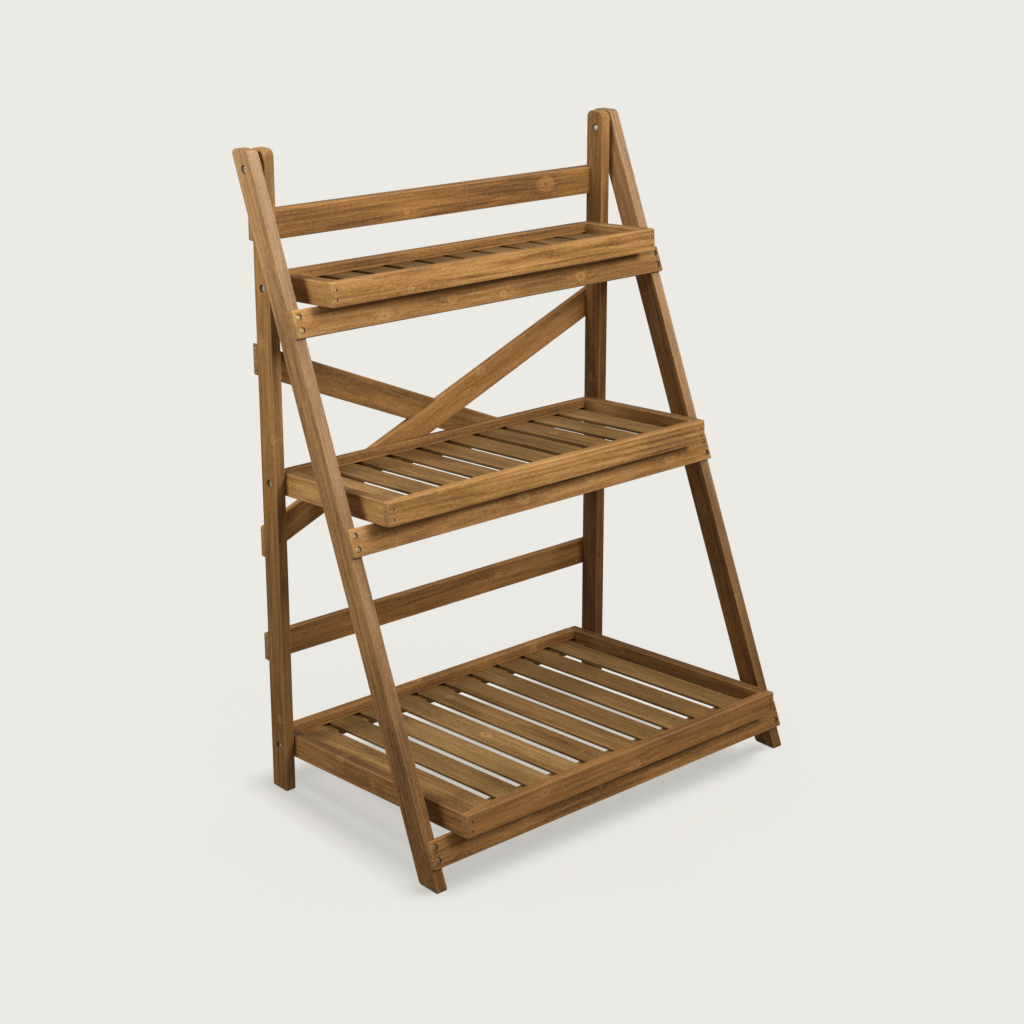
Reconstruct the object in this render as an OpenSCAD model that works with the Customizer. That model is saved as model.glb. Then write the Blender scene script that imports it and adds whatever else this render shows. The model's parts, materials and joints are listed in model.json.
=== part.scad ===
// Folding plant ladder stand: a braced rear frame, a front frame that swings on two
// bolts, and three slatted trays that turn on bolts at their rear and rest on the
// front rails. Lengths are in millimetres, X across, Y to the rear and Z up.
// The modules are drawn with y = 0 on the rear faces of the posts, and from_origin()
// moves them so that the origin is at the middle of the footprint, on the floor.

/* [Rear frame] */
// Height of the rear posts
frame_h = 930; // [880:1:980]
// Clear width between the rear posts
inner_w = 601; // [560:1:640]
// Thickness of a rear post, across the stand
post_t = 16; // [15:0.5:20]
// Depth of a rear post, front to rear
post_d = 34.5; // [33:0.5:40]
// Rounding of the two top corners of a post
post_round = 11; // [6:0.5:14]
// Face height of the top rail, the low rail and the braces
member_h = 41; // [36:0.5:44]
// Thickness of the low rail and the braces
member_t = 10; // [8:0.5:14]
// Thickness of the top rail
top_rail_t = 20; // [16:0.5:22]
// Depth of the notches that hold the top rail
top_rail_let = 10; // [6:0.5:12]
// Distance from the post tops down to the middle of the top rail
top_rail_drop = 106.5; // [80:0.5:112]
// Height of the middle of the low rail
low_rail_z = 214.5; // [180:0.5:240]
// Height of the middle of brace A at the left post
brace_a_left_z = 636; // [610:1:650]
// Height of the middle of brace A at the right post
brace_a_right_z = 372; // [340:1:390]
// Height of the middle of brace B at the left post
brace_b_left_z = 377; // [340:1:390]
// Height of the middle of brace B at the right post
brace_b_right_z = 632; // [610:1:650]
// Depth that brace B is let into the posts, which leaves it proud of brace A
brace_b_let = 1.5; // [1:0.1:3]

/* [Front frame] */
// Lean of the front frame from the vertical
leg_angle = 22.2; // [20:0.1:24]
// Thickness of a front leg, across the stand
leg_t = 17; // [15:0.5:20]
// Width of a front leg, across its side face
leg_w = 36.5; // [32:0.5:40]
// Gap between a leg and its post, filled by a spacer washer
leg_gap = 5; // [2:0.5:6]
// Rounding of the two top corners of a leg
leg_round = 8; // [5:0.5:9]
// Distance from the post tops down to the leg pivots
leg_pivot_drop = 26; // [22:0.5:32]
// Distance of every pivot in front of the rear faces of the posts
pivot_inset = 18.5; // [17:0.5:20]
// Face height of a front rail
front_rail_h = 38.5; // [30:0.5:42]
// Thickness of a front rail
front_rail_t = 9; // [7:0.5:12]

/* [Trays] */
// Slope of the trays, lower at the rear
tray_tilt = 3.3; // [2:0.1:4.5]
// Gap between a tray and each post
tray_gap = 1.25; // [1:0.05:2.5]
// Thickness of the side, front and rear boards
board_t = 16; // [14:0.5:18]
// Height of the side and front boards
board_h = 34; // [32:0.5:36]
// Thickness of the front board where it laps the ends of the side boards
lap_t = 10; // [8:0.5:12]
// Depth of the tray well, from the top of the boards to the slats
well_d = 14; // [12:0.5:15]
// Number of slats in a tray
slat_count = 10; // [7:1:10]
// Width of a slat
slat_w = 42; // [34:0.5:46]
// Thickness of a slat
slat_t = 5; // [4:0.5:6]
// Gap between an outer slat and its side board
slat_end_gap = 14.5; // [8:0.5:18]
// Width of a batten under the slats
batten_w = 40; // [30:1:44]
// Thickness of a batten
batten_t = 9; // [7:0.5:10]

/* [Top tray] */
// Distance from the post tops down to the pivots of the top tray
top_pivot_drop = 189; // [170:0.5:195]
// Depth of those pivots under the top of the tray
top_bolt_drop = 19; // [15:0.5:20]
// Distance that the top tray reaches past its front rail
top_overhang = 35.5; // [20:0.5:45]
// Distance that the top tray reaches behind its pivots
top_setback = 14.5; // [12:0.5:16]

/* [Middle tray] */
// Height of the pivots of the middle tray
middle_pivot_z = 465.5; // [455:0.5:475]
// Depth of those pivots under the top of the tray
middle_bolt_drop = 14.5; // [13:0.5:16]
// Distance that the middle tray reaches past its front rail
middle_overhang = 36.5; // [20:0.5:37]
// Distance that the middle tray reaches behind its pivots
middle_setback = 13.5; // [12:0.5:15]
// Chamfer on its rear upper edge, which lets it swing up past the braces
middle_chamfer = 6; // [5:0.5:8]

/* [Bottom tray] */
// Height of the pivots of the bottom tray
bottom_pivot_z = 68.5; // [60:0.5:75]
// Depth of those pivots under the top of the tray
bottom_bolt_drop = 14; // [13:0.5:18]
// Distance that the bottom tray reaches past its front rail
bottom_overhang = 33.5; // [20:0.5:45]
// Distance that the bottom tray reaches behind its pivots
bottom_setback = 32.5; // [20:0.5:36]

/* [Pivot bolts] */
// Diameter of a pivot bolt
bolt_d = 5; // [4:0.5:6]
// Diameter of a bolt head
bolt_head_d = 8.5; // [7.5:0.5:9]
// Height of a bolt head
bolt_head_h = 5; // [4:0.5:6]
// Width of the hexagon socket in a bolt head
bolt_socket_w = 4; // [3:0.5:5]
// Depth of that socket
bolt_socket_h = 2.5; // [2:0.5:3]
// Diameter of the recesses for bolt heads and nuts
bolt_recess_d = 12; // [11:0.5:13]
// Depth of the recesses for bolt heads
bolt_recess_h = 7.5; // [6.5:0.5:8]
// Depth of the bores that the tray bolts enter in the side boards
tray_bore_h = 13; // [10:0.5:13.5]
// Width of a nut across its flats
nut_w = 8; // [7:0.5:9]
// Height of a nut
nut_h = 4; // [3:0.5:4.5]
// Depth of the recesses for nuts
nut_recess_h = 5; // [4.5:0.5:6]
// Diameter of a spacer washer
washer_d = 14; // [11:0.5:16]

/* [Wood screws] */
// Diameter of a wood screw
screw_d = 4; // [3:0.5:4.5]
// Diameter of a screw head
screw_head_d = 7.5; // [6.5:0.5:8]
// Height of a screw head
screw_head_h = 1.6; // [1.2:0.1:2]
// Diameter of the recess over a screw head
screw_recess_d = 9; // [8.5:0.5:10]
// Depth of that recess
screw_recess_h = 3; // [2.5:0.1:4]
// Length of a screw in the post or leg that it holds on to
screw_bite = 18; // [12:0.5:22]
// Distance between the two screws in an end
screw_pitch = 18; // [14:0.5:20]

/* [Hidden] */
LEFT = -1;
RIGHT = 1;
TOP = 0;
MIDDLE = 1;
BOTTOM = 2;
SIDES = [LEFT, RIGHT];
LEVELS = [TOP, MIDDLE, BOTTOM];
LEVEL_NAMES = ["top", "middle", "bottom"];
SLATS = [1 : slat_count];

$fn = 64;
// Radial clearance of a bolt in a bore that turns on it
run_gap = 0.08;
// Gap between a tray and the rail under it, and between a leg and its spacer washer
seat_gap = 0.3;
// Gap at the end of a bolt in its bore
tip_gap = 0.5;
// Depth at which the halves of the braces meet where they cross
halving_y = (member_t - brace_b_let) / 2;
// Overshoot of a cutting shape past the face that it cuts
cut = 1;

WOOD = "#A87C50";
WOOD_FRONT = "#9A7040";
WOOD_SLAT = "#7F6542";
STEEL = "#C9C7C2";
BRASS = "#B79A6A";

post_outer = inner_w / 2 + post_t;
post_mid = inner_w / 2 + post_t / 2;
leg_inner = post_outer + leg_gap;
leg_outer = leg_inner + leg_t;
leg_mid = leg_inner + leg_t / 2;
leg_z = frame_h - leg_pivot_drop;
top_rail_z = frame_h - top_rail_drop;
pivot_y = -pivot_inset;

tray_w = inner_w - 2 * tray_gap;
well_w = tray_w - 2 * board_t;
slat_pitch = (well_w - 2 * slat_end_gap - slat_w) / (slat_count - 1);

pivot_z = [frame_h - top_pivot_drop, middle_pivot_z, bottom_pivot_z];
bolt_drop = [top_bolt_drop, middle_bolt_drop, bottom_bolt_drop];
overhang = [top_overhang, middle_overhang, bottom_overhang];
setback = [top_setback, middle_setback, bottom_setback];
rear_chamfer = [0, middle_chamfer, 0];

// Distance from the middle plane of a leg out to the front face of its rails
rail_front = leg_w / 2 + front_rail_t;
// Distance down the leg from its pivot to the top edge of a rail, where the upper
// front arris of the rail lies seat_gap under the tray
function rail_down(k) =
    ((leg_z - pivot_z[k] + rail_front * sin(leg_angle)) * cos(tray_tilt)
    - rail_front * cos(leg_angle) * sin(tray_tilt)
    + board_h - bolt_drop[k] + seat_gap) / cos(leg_angle - tray_tilt);
// Distance of that arris in front of the tray pivot, measured along the tray
function rail_reach(k) =
    (rail_front * cos(leg_angle) + rail_down(k) * sin(leg_angle)) * cos(tray_tilt)
    + (leg_z - pivot_z[k] + rail_front * sin(leg_angle)
    - rail_down(k) * cos(leg_angle)) * sin(tray_tilt);
function tray_reach(k) = rail_reach(k) + overhang[k];

// The footprint runs from the lower front edge to the upper rear edge of the bottom tray
front_y = pivot_y - tray_reach(BOTTOM) * cos(tray_tilt)
    - (board_h - bolt_drop[BOTTOM]) * sin(tray_tilt);
rear_y = pivot_y + setback[BOTTOM] * cos(tray_tilt) + bolt_drop[BOTTOM] * sin(tray_tilt);
origin_y = (front_y + rear_y) / 2;

// Moves a piece from the posts' rear faces to the origin of the stand
module from_origin() {
    translate([0, -origin_y, 0]) children();
}

// Draws a right-hand shape on either side
module on_side(side) {
    if (side == RIGHT) children();
    else mirror([1, 0, 0]) children();
}

// Leg frame: origin at the leg pivot, -Z down the leg and -Y square to its front face
module on_leg() {
    translate([0, pivot_y, leg_z]) rotate([-leg_angle, 0, 0]) children();
}

// Tray frame: origin at the tray pivot, -Y forward along the tray and Z square to it
module on_tray(k) {
    translate([0, pivot_y, pivot_z[k]]) rotate([-tray_tilt, 0, 0]) children();
}

// Stands a YZ outline on its edge and gives it a thickness from x to x + t
module across(x, t) {
    translate([x, 0, 0]) rotate([90, 0, 90]) linear_extrude(t) children();
}

// Block between two corners
module block(from, to) {
    translate(from) cube(to - from);
}

// Cylinder along X from x0 to x1
module rod_x(x0, x1, d) {
    translate([x0, 0, 0]) rotate([0, 90, 0]) cylinder(d = d, h = x1 - x0);
}

// Outline of a post: a board with two rounded top corners
module post_outline() {
    square([post_d, frame_h - post_round]);
    translate([post_round, 0]) square([post_d - 2 * post_round, frame_h]);
    translate([post_round, frame_h - post_round]) circle(r = post_round);
    translate([post_d - post_round, frame_h - post_round]) circle(r = post_round);
}

// Outline of a leg: a leaning board, cut level at the floor and at the post tops,
// with rounded top corners
module leg_outline() {
    half = leg_w / 2 / cos(leg_angle);
    foot = pivot_y - leg_z * tan(leg_angle);
    top = pivot_y + (leg_pivot_drop - leg_round) * tan(leg_angle);
    inset = half - leg_round / cos(leg_angle);
    normal = leg_round * [cos(leg_angle), -sin(leg_angle)];
    front_centre = [top - inset, frame_h - leg_round];
    rear_centre = [top + inset, frame_h - leg_round];
    polygon([
        [foot + half, 0],
        rear_centre + normal,
        rear_centre + [0, leg_round],
        front_centre + [0, leg_round],
        front_centre - normal,
        [foot - half, 0]]);
    translate(front_centre) circle(r = leg_round);
    translate(rear_centre) circle(r = leg_round);
}

// Straight rear member between the outer faces of the posts, from its middle heights
// at the two posts and the y of its front face
module rear_member(left_z, right_z, y, t) {
    slope = (right_z - left_z) / (2 * post_mid);
    half = member_h / 2 / cos(atan(slope));
    mid = (left_z + right_z) / 2;
    rise = slope * post_outer;
    translate([0, y + t, 0]) rotate([90, 0, 0]) linear_extrude(t) polygon([
        [-post_outer, mid - rise - half],
        [post_outer, mid + rise - half],
        [post_outer, mid + rise + half],
        [-post_outer, mid - rise + half]]);
}

module top_rail_blank() {
    rear_member(top_rail_z, top_rail_z, -top_rail_let, top_rail_t);
}

module low_rail_blank() {
    rear_member(low_rail_z, low_rail_z, 0, member_t);
}

module brace_a_blank() {
    rear_member(brace_a_left_z, brace_a_right_z, 0, member_t);
}

module brace_b_blank() {
    rear_member(brace_b_left_z, brace_b_right_z, -brace_b_let, member_t);
}

// Half space in front of or behind the plane where the halved braces meet
module halving_space(to_rear) {
    size = 2 * post_outer;
    side_y = to_rear ? halving_y : halving_y - size;
    translate([-post_outer, side_y, 0]) cube([size, size, frame_h]);
}

// Screw along -Z, whose recess starts at z = 0 and whose member is t thick
module screw(t) {
    seat = -screw_recess_h;
    translate([0, 0, seat]) cylinder(d = screw_head_d, h = screw_head_h);
    translate([0, 0, -t - screw_bite]) cylinder(d = screw_d, h = t + screw_bite + seat + cut / 2);
}

// Hole for that screw, with the recess over its head
module screw_hole(t) {
    translate([0, 0, -screw_recess_h]) cylinder(d = screw_recess_d, h = screw_recess_h + cut);
    translate([0, 0, -t - screw_bite]) cylinder(d = screw_d, h = t + screw_bite);
}

// A screw, or the hole for it, through a member t thick
module screw_or_hole(hole, t) {
    if (hole) screw_hole(t);
    else screw(t);
}

// The two screw places in each end of a rear member; the child is what goes there
module rear_screw_places(left_z, right_z, rear_face) {
    ends = [[-post_mid, left_z], [post_mid, right_z]];
    for (end = ends, dz = [-screw_pitch, screw_pitch] / 2)
        translate([end[0], rear_face, end[1] + dz]) rotate([-90, 0, 0]) children();
}

module top_rail_screws(hole) {
    rear_screw_places(top_rail_z, top_rail_z, top_rail_t - top_rail_let)
        screw_or_hole(hole, top_rail_t);
}

module low_rail_screws(hole) {
    rear_screw_places(low_rail_z, low_rail_z, member_t) screw_or_hole(hole, member_t);
}

module brace_a_screws(hole) {
    rear_screw_places(brace_a_left_z, brace_a_right_z, member_t) screw_or_hole(hole, member_t);
}

module brace_b_screws(hole) {
    rear_screw_places(brace_b_left_z, brace_b_right_z, member_t - brace_b_let)
        screw_or_hole(hole, member_t);
}

// The two screws in each end of a front rail, or their holes
module front_rail_screws_at(k, hole) {
    mid = rail_down(k) + front_rail_h / 2;
    on_leg() for (side = SIDES, dz = [-screw_pitch, screw_pitch] / 2)
        translate([side * leg_mid, -rail_front, dz - mid]) rotate([90, 0, 0])
            screw_or_hole(hole, front_rail_t);
}

// Post with the notches, bores and recesses for what it carries
module rear_post(side) {
    color(WOOD) from_origin() difference() {
        on_side(side) translate([0, -post_d, 0]) across(inner_w / 2, post_t) post_outline();
        top_rail_blank();
        brace_b_blank();
        top_rail_screws(true);
        low_rail_screws(true);
        brace_a_screws(true);
        brace_b_screws(true);
        on_side(side) translate([0, pivot_y, leg_z]) {
            rod_x(inner_w / 2 - cut, post_outer + cut, bolt_d);
            rod_x(inner_w / 2 - cut, inner_w / 2 + nut_recess_h, bolt_recess_d);
        }
        on_side(side) for (k = LEVELS) translate([0, pivot_y, pivot_z[k]]) {
            rod_x(inner_w / 2 - cut, post_outer + cut, bolt_d);
            rod_x(post_outer - bolt_recess_h, post_outer + cut, bolt_recess_d);
        }
    }
}

module rear_top_rail() {
    color(WOOD) from_origin() difference() {
        top_rail_blank();
        top_rail_screws(true);
    }
}

module rear_low_rail() {
    color(WOOD) from_origin() difference() {
        low_rail_blank();
        low_rail_screws(true);
    }
}

// Brace A passes behind brace B where they are halved
module rear_brace_a() {
    color(WOOD) from_origin() difference() {
        brace_a_blank();
        intersection() {
            brace_b_blank();
            halving_space(false);
        }
        brace_a_screws(true);
    }
}

module rear_brace_b() {
    color(WOOD) from_origin() difference() {
        brace_b_blank();
        intersection() {
            brace_a_blank();
            halving_space(true);
        }
        brace_b_screws(true);
    }
}

// Leg with its pivot bore, the recess for the bolt head and the rail screw holes
module front_leg(side) {
    color(WOOD) from_origin() difference() {
        on_side(side) across(leg_inner, leg_t) leg_outline();
        on_side(side) translate([0, pivot_y, leg_z]) {
            rod_x(leg_inner - cut, leg_outer + cut, bolt_d + 2 * run_gap);
            rod_x(leg_outer - bolt_recess_h, leg_outer + cut, bolt_recess_d);
        }
        for (k = LEVELS) front_rail_screws_at(k, true);
    }
}

module front_rail(k) {
    color(WOOD) from_origin() difference() {
        on_leg() block(
            [-leg_outer, -rail_front, -rail_down(k) - front_rail_h],
            [leg_outer, -leg_w / 2, -rail_down(k)]);
        front_rail_screws_at(k, true);
    }
}

// Part of a tray from x0 to x1, from a0 to a1 in front of the pivots and from d0 to d1
// under the top of the boards
module tray_block(k, x0, x1, a0, a1, d0, d1) {
    block([x0, -a1, bolt_drop[k] - d1], [x1, -a0, bolt_drop[k] - d0]);
}

// Cut along the rear upper edge of a tray
module chamfer_cut(k) {
    c = rear_chamfer[k];
    if (c > 0) translate([0, setback[k], bolt_drop[k]]) across(-tray_w / 2 - cut, tray_w + 2 * cut)
        polygon([[cut, cut], [cut, -c - cut], [-c - cut, cut]]);
}

module tray_side(k, side) {
    color(WOOD) from_origin() on_tray(k) difference() {
        on_side(side) tray_block(k, well_w / 2, tray_w / 2,
            -setback[k], tray_reach(k) - lap_t, 0, board_h);
        on_side(side) rod_x(tray_w / 2 - tray_bore_h, tray_w / 2 + cut, bolt_d + 2 * run_gap);
        chamfer_cut(k);
    }
}

module tray_front_board(k) {
    color(WOOD_FRONT) from_origin() on_tray(k) difference() {
        tray_block(k, -tray_w / 2, tray_w / 2, tray_reach(k) - board_t, tray_reach(k), 0, board_h);
        for (side = SIDES) on_side(side) tray_block(k, well_w / 2, tray_w / 2 + cut,
            tray_reach(k) - board_t - cut, tray_reach(k) - lap_t, -cut, board_h + cut);
    }
}

module tray_rear_board(k) {
    color(WOOD) from_origin() on_tray(k) difference() {
        tray_block(k, -well_w / 2, well_w / 2, -setback[k], board_t - setback[k], 0, well_d);
        chamfer_cut(k);
    }
}

module tray_slat(k, i) {
    x = -well_w / 2 + slat_end_gap + (i - 1) * slat_pitch;
    color(WOOD_SLAT) from_origin() on_tray(k) tray_block(k, x, x + slat_w,
        -setback[k], tray_reach(k) - board_t, well_d, well_d + slat_t);
}

module tray_battens(k) {
    rear_end = -setback[k];
    front_end = tray_reach(k) - board_t - batten_w;
    color(WOOD_SLAT) from_origin() on_tray(k) for (a = [rear_end, front_end])
        tray_block(k, -well_w / 2, well_w / 2, a, a + batten_w,
            well_d + slat_t, well_d + slat_t + batten_t);
}

// Bolt along X with its socket head on the outer side, from its tip to under its head
module bolt(tip_x, seat_x) {
    difference() {
        union() {
            rod_x(tip_x, seat_x + cut, bolt_d);
            rod_x(seat_x, seat_x + bolt_head_h, bolt_head_d);
        }
        translate([seat_x + bolt_head_h - bolt_socket_h, 0, 0]) rotate([0, 90, 0])
            cylinder(d = bolt_socket_w / cos(30), h = bolt_socket_h + cut, $fn = 6);
    }
}

module pivot_bolts() {
    color(STEEL) from_origin() for (side = SIDES) on_side(side) {
        translate([0, pivot_y, leg_z])
            bolt(inner_w / 2 + cut / 2, leg_outer - bolt_recess_h + seat_gap);
        for (k = LEVELS) translate([0, pivot_y, pivot_z[k]])
            bolt(tray_w / 2 - tray_bore_h + tip_gap, post_outer - bolt_recess_h);
    }
}

module leg_nuts_and_washers() {
    nut_x = inner_w / 2 + nut_recess_h;
    color(STEEL) from_origin() for (side = SIDES) on_side(side) translate([0, pivot_y, leg_z]) {
        difference() {
            translate([nut_x - nut_h, 0, 0]) rotate([0, 90, 0])
                cylinder(d = nut_w / cos(30), h = nut_h, $fn = 6);
            rod_x(nut_x - nut_h - cut, nut_x + cut, bolt_d);
        }
        difference() {
            rod_x(post_outer, leg_inner - seat_gap, washer_d);
            rod_x(post_outer - cut, leg_inner + cut, bolt_d);
        }
    }
}

module rear_screws() {
    color(BRASS) from_origin() {
        top_rail_screws(false);
        low_rail_screws(false);
        brace_a_screws(false);
        brace_b_screws(false);
    }
}

module front_rail_screws() {
    color(BRASS) from_origin() for (k = LEVELS) front_rail_screws_at(k, false);
}

rear_post(LEFT);  // rear_post_left
rear_post(RIGHT);  // rear_post_right
rear_top_rail();
rear_brace_a();
rear_brace_b();
rear_low_rail();
front_leg(LEFT);  // front_leg_left
front_leg(RIGHT);  // front_leg_right
for (k = LEVELS) {
    level = LEVEL_NAMES[k];
    front_rail(k);
    tray_side(k, LEFT);
    tray_side(k, RIGHT);
    tray_front_board(k);
    tray_rear_board(k);
    tray_battens(k);
    for (i = SLATS)
        tray_slat(k, i);
}
pivot_bolts();
leg_nuts_and_washers();
rear_screws();
front_rail_screws();
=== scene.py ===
"""Folding plant ladder stand: its visible pieces on the CAD frame, the studio and the camera."""

import json
import logging
import math
import random
from collections.abc import Callable
from dataclasses import dataclass
from enum import Enum
from functools import cache, partial

import bpy
import numpy as np
from mathutils import Matrix, Vector

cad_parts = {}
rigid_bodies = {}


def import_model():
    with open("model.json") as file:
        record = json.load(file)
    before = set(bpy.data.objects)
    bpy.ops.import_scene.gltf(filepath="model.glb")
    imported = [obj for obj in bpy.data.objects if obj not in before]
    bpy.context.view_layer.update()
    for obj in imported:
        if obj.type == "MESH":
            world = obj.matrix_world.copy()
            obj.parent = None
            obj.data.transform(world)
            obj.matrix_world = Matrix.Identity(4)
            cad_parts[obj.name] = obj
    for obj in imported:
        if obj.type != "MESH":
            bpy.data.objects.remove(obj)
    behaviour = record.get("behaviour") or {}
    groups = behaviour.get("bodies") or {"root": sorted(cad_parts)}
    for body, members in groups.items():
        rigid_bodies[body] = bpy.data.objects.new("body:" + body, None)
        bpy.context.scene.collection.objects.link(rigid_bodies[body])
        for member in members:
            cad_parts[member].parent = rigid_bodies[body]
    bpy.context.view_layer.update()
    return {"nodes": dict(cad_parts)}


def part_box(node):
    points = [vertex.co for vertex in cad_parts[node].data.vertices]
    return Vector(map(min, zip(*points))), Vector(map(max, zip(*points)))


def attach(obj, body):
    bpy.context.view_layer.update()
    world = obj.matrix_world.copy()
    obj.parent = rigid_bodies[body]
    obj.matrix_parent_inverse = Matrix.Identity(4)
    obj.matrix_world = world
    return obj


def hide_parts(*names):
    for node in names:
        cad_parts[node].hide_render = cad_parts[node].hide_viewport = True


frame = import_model()
LOG = logging.getLogger("plant_ladder_stand")

AddNode = Callable[..., bpy.types.Node]
EdgeTest = Callable[[Vector, Vector], bool]

# Types of the nodes that the materials use
ATTRIBUTE = "ShaderNodeAttribute"
BUMP = "ShaderNodeBump"
MAPPING = "ShaderNodeMapping"
MATH = "ShaderNodeMath"
MIX = "ShaderNodeMix"
NOISE = "ShaderNodeTexNoise"
OUTPUT = "ShaderNodeOutputMaterial"
PLACE = "ShaderNodeTexCoord"
RAMP = "ShaderNodeValToRGB"
RANGE = "ShaderNodeMapRange"
SHADER = "ShaderNodeBsdfPrincipled"
SPLIT = "ShaderNodeSeparateXYZ"
VECTOR = "ShaderNodeVectorMath"

# How far a block that is cut away stands out past the faces it cuts, in metres
OVERCUT = 0.01
# How far a round or cross-shaped cutter stands out past the face it enters, in metres
PIERCE = 0.001
# Two places this close, in metres, are taken as one
NEAR = 1e-4
# Depth of the end of a sloping member whose corners give its slope, in metres
END_DEPTH = 1e-5
# Least part of a unit direction along an axis for it to run along that axis
PARALLEL = 0.9
# Most part of a unit direction along an axis for it to run across that axis
ACROSS = 0.1
# Least part of a face's normal along an axis for the face to look that way
FACING = 0.75

# Knots, in millimetres along and across a board, with their radius
KNOTS_PER_BOARD = 4
KNOT_RADII = (1.8, 4.2)
NO_KNOT = (9000.0, 9000.0, 1.0)
# Farthest that a random knot lies from the middle, as shares of the length and the width
KNOT_REACH = (0.45, 0.4)
# Length of board, in metres, that holds one knot where the knots fall at random
KNOT_SPACING = 0.35
# Painted shade on the upper faces of a tray's side boards, over that of a common face
SIDE_TOP_SHADE = 1.5
# Share of the painted sheen and bleaching that shows on the broad faces
BROAD_SHEEN_AND_BLEACH = 0.3
# How quickly the painted sheen and bleaching fade below the upper end, as a power of the height
FADE_POWER = 3


class Body(Enum):
    """The CAD bodies that pieces ride on."""

    REAR_FRAME = "rear_frame"
    FRONT_FRAME = "front_frame"
    TOP_TRAY = "top_tray"
    MIDDLE_TRAY = "middle_tray"
    BOTTOM_TRAY = "bottom_tray"


class Slot(Enum):
    """The record's material slots."""

    FIR = "stained_fir"
    SLATS = "slat_fir"
    ZINC = "zinc_steel"
    BRASS = "brassed_steel"


def linear(hex_colour: str) -> tuple[float, float, float, float]:
    """Turns an sRGB hex colour into linear RGBA.

    Args:
        hex_colour: Six hex digits after a hash sign.

    Returns:
        The linear colour with alpha 1.
    """
    parts = [int(hex_colour[i : i + 2], 16) / 255 for i in (1, 3, 5)]
    red, green, blue = (p / 12.92 if p <= 0.04045 else ((p + 0.055) / 1.055) ** 2.4 for p in parts)
    return red, green, blue, 1.0


def add_node(
    tree: bpy.types.NodeTree, kind: str, links: dict | None = None, **settings: object
) -> bpy.types.Node:
    """Adds a node to a tree.

    Args:
        tree: The tree that the node goes into.
        kind: Type of the node.
        links: For each input, by name or number, its value or the socket or node joined to it.
        **settings: Properties of the node.

    Returns:
        The new node.
    """
    node = tree.nodes.new(kind)
    for name, value in settings.items():
        setattr(node, name, value)
    for key, value in (links or {}).items():
        if isinstance(value, bpy.types.Node):
            value = value.outputs[2 if value.bl_idname == MIX else 0]
        if isinstance(value, bpy.types.NodeSocket):
            tree.links.new(value, node.inputs[key])
        else:
            node.inputs[key].default_value = value
    return node


def empty_tree(owner: bpy.types.Material | bpy.types.World) -> AddNode:
    """Clears the node tree of a material or world.

    Args:
        owner: The material or world.

    Returns:
        The function that adds a node to its tree.
    """
    owner.use_nodes = True
    owner.node_tree.nodes.clear()
    return partial(add_node, owner.node_tree)


def set_ramp(node: bpy.types.Node, stops: list[tuple[float, tuple]]) -> None:
    """Gives a colour ramp its stops.

    Args:
        node: The colour ramp.
        stops: Position and linear colour of each stop, in rising order.
    """
    elements = node.color_ramp.elements
    while len(elements) < len(stops):
        elements.new(1.0)
    for element, (position, colour) in zip(elements, stops):
        element.position = position
        element.color = colour


@dataclass(frozen=True)
class Grain:
    """One layer of the wood's figure.

    Attributes:
        waves: Its waves per metre along, across and through the board.
        detail: Number of finer waves over them.
        share: How far it lightens and darkens the face.
    """

    waves: tuple[float, float, float]
    detail: float
    share: float


# Fibres 1 mm apart, flecks 1.6 mm wide, streaks 6 mm wide and clouds 3 cm wide. Real fibres are
# finer than a pixel of the render, so they are drawn as coarse as they need to show.
FIBRES = Grain((30, 1000, 1000), 3, 0.6)
FLECKS = Grain((190, 620, 620), 3, 0.75)
STREAKS = Grain((6, 170, 170), 3, 0.7)
CLOUDS = Grain((5, 30, 30), 4, 1.05)


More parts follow.
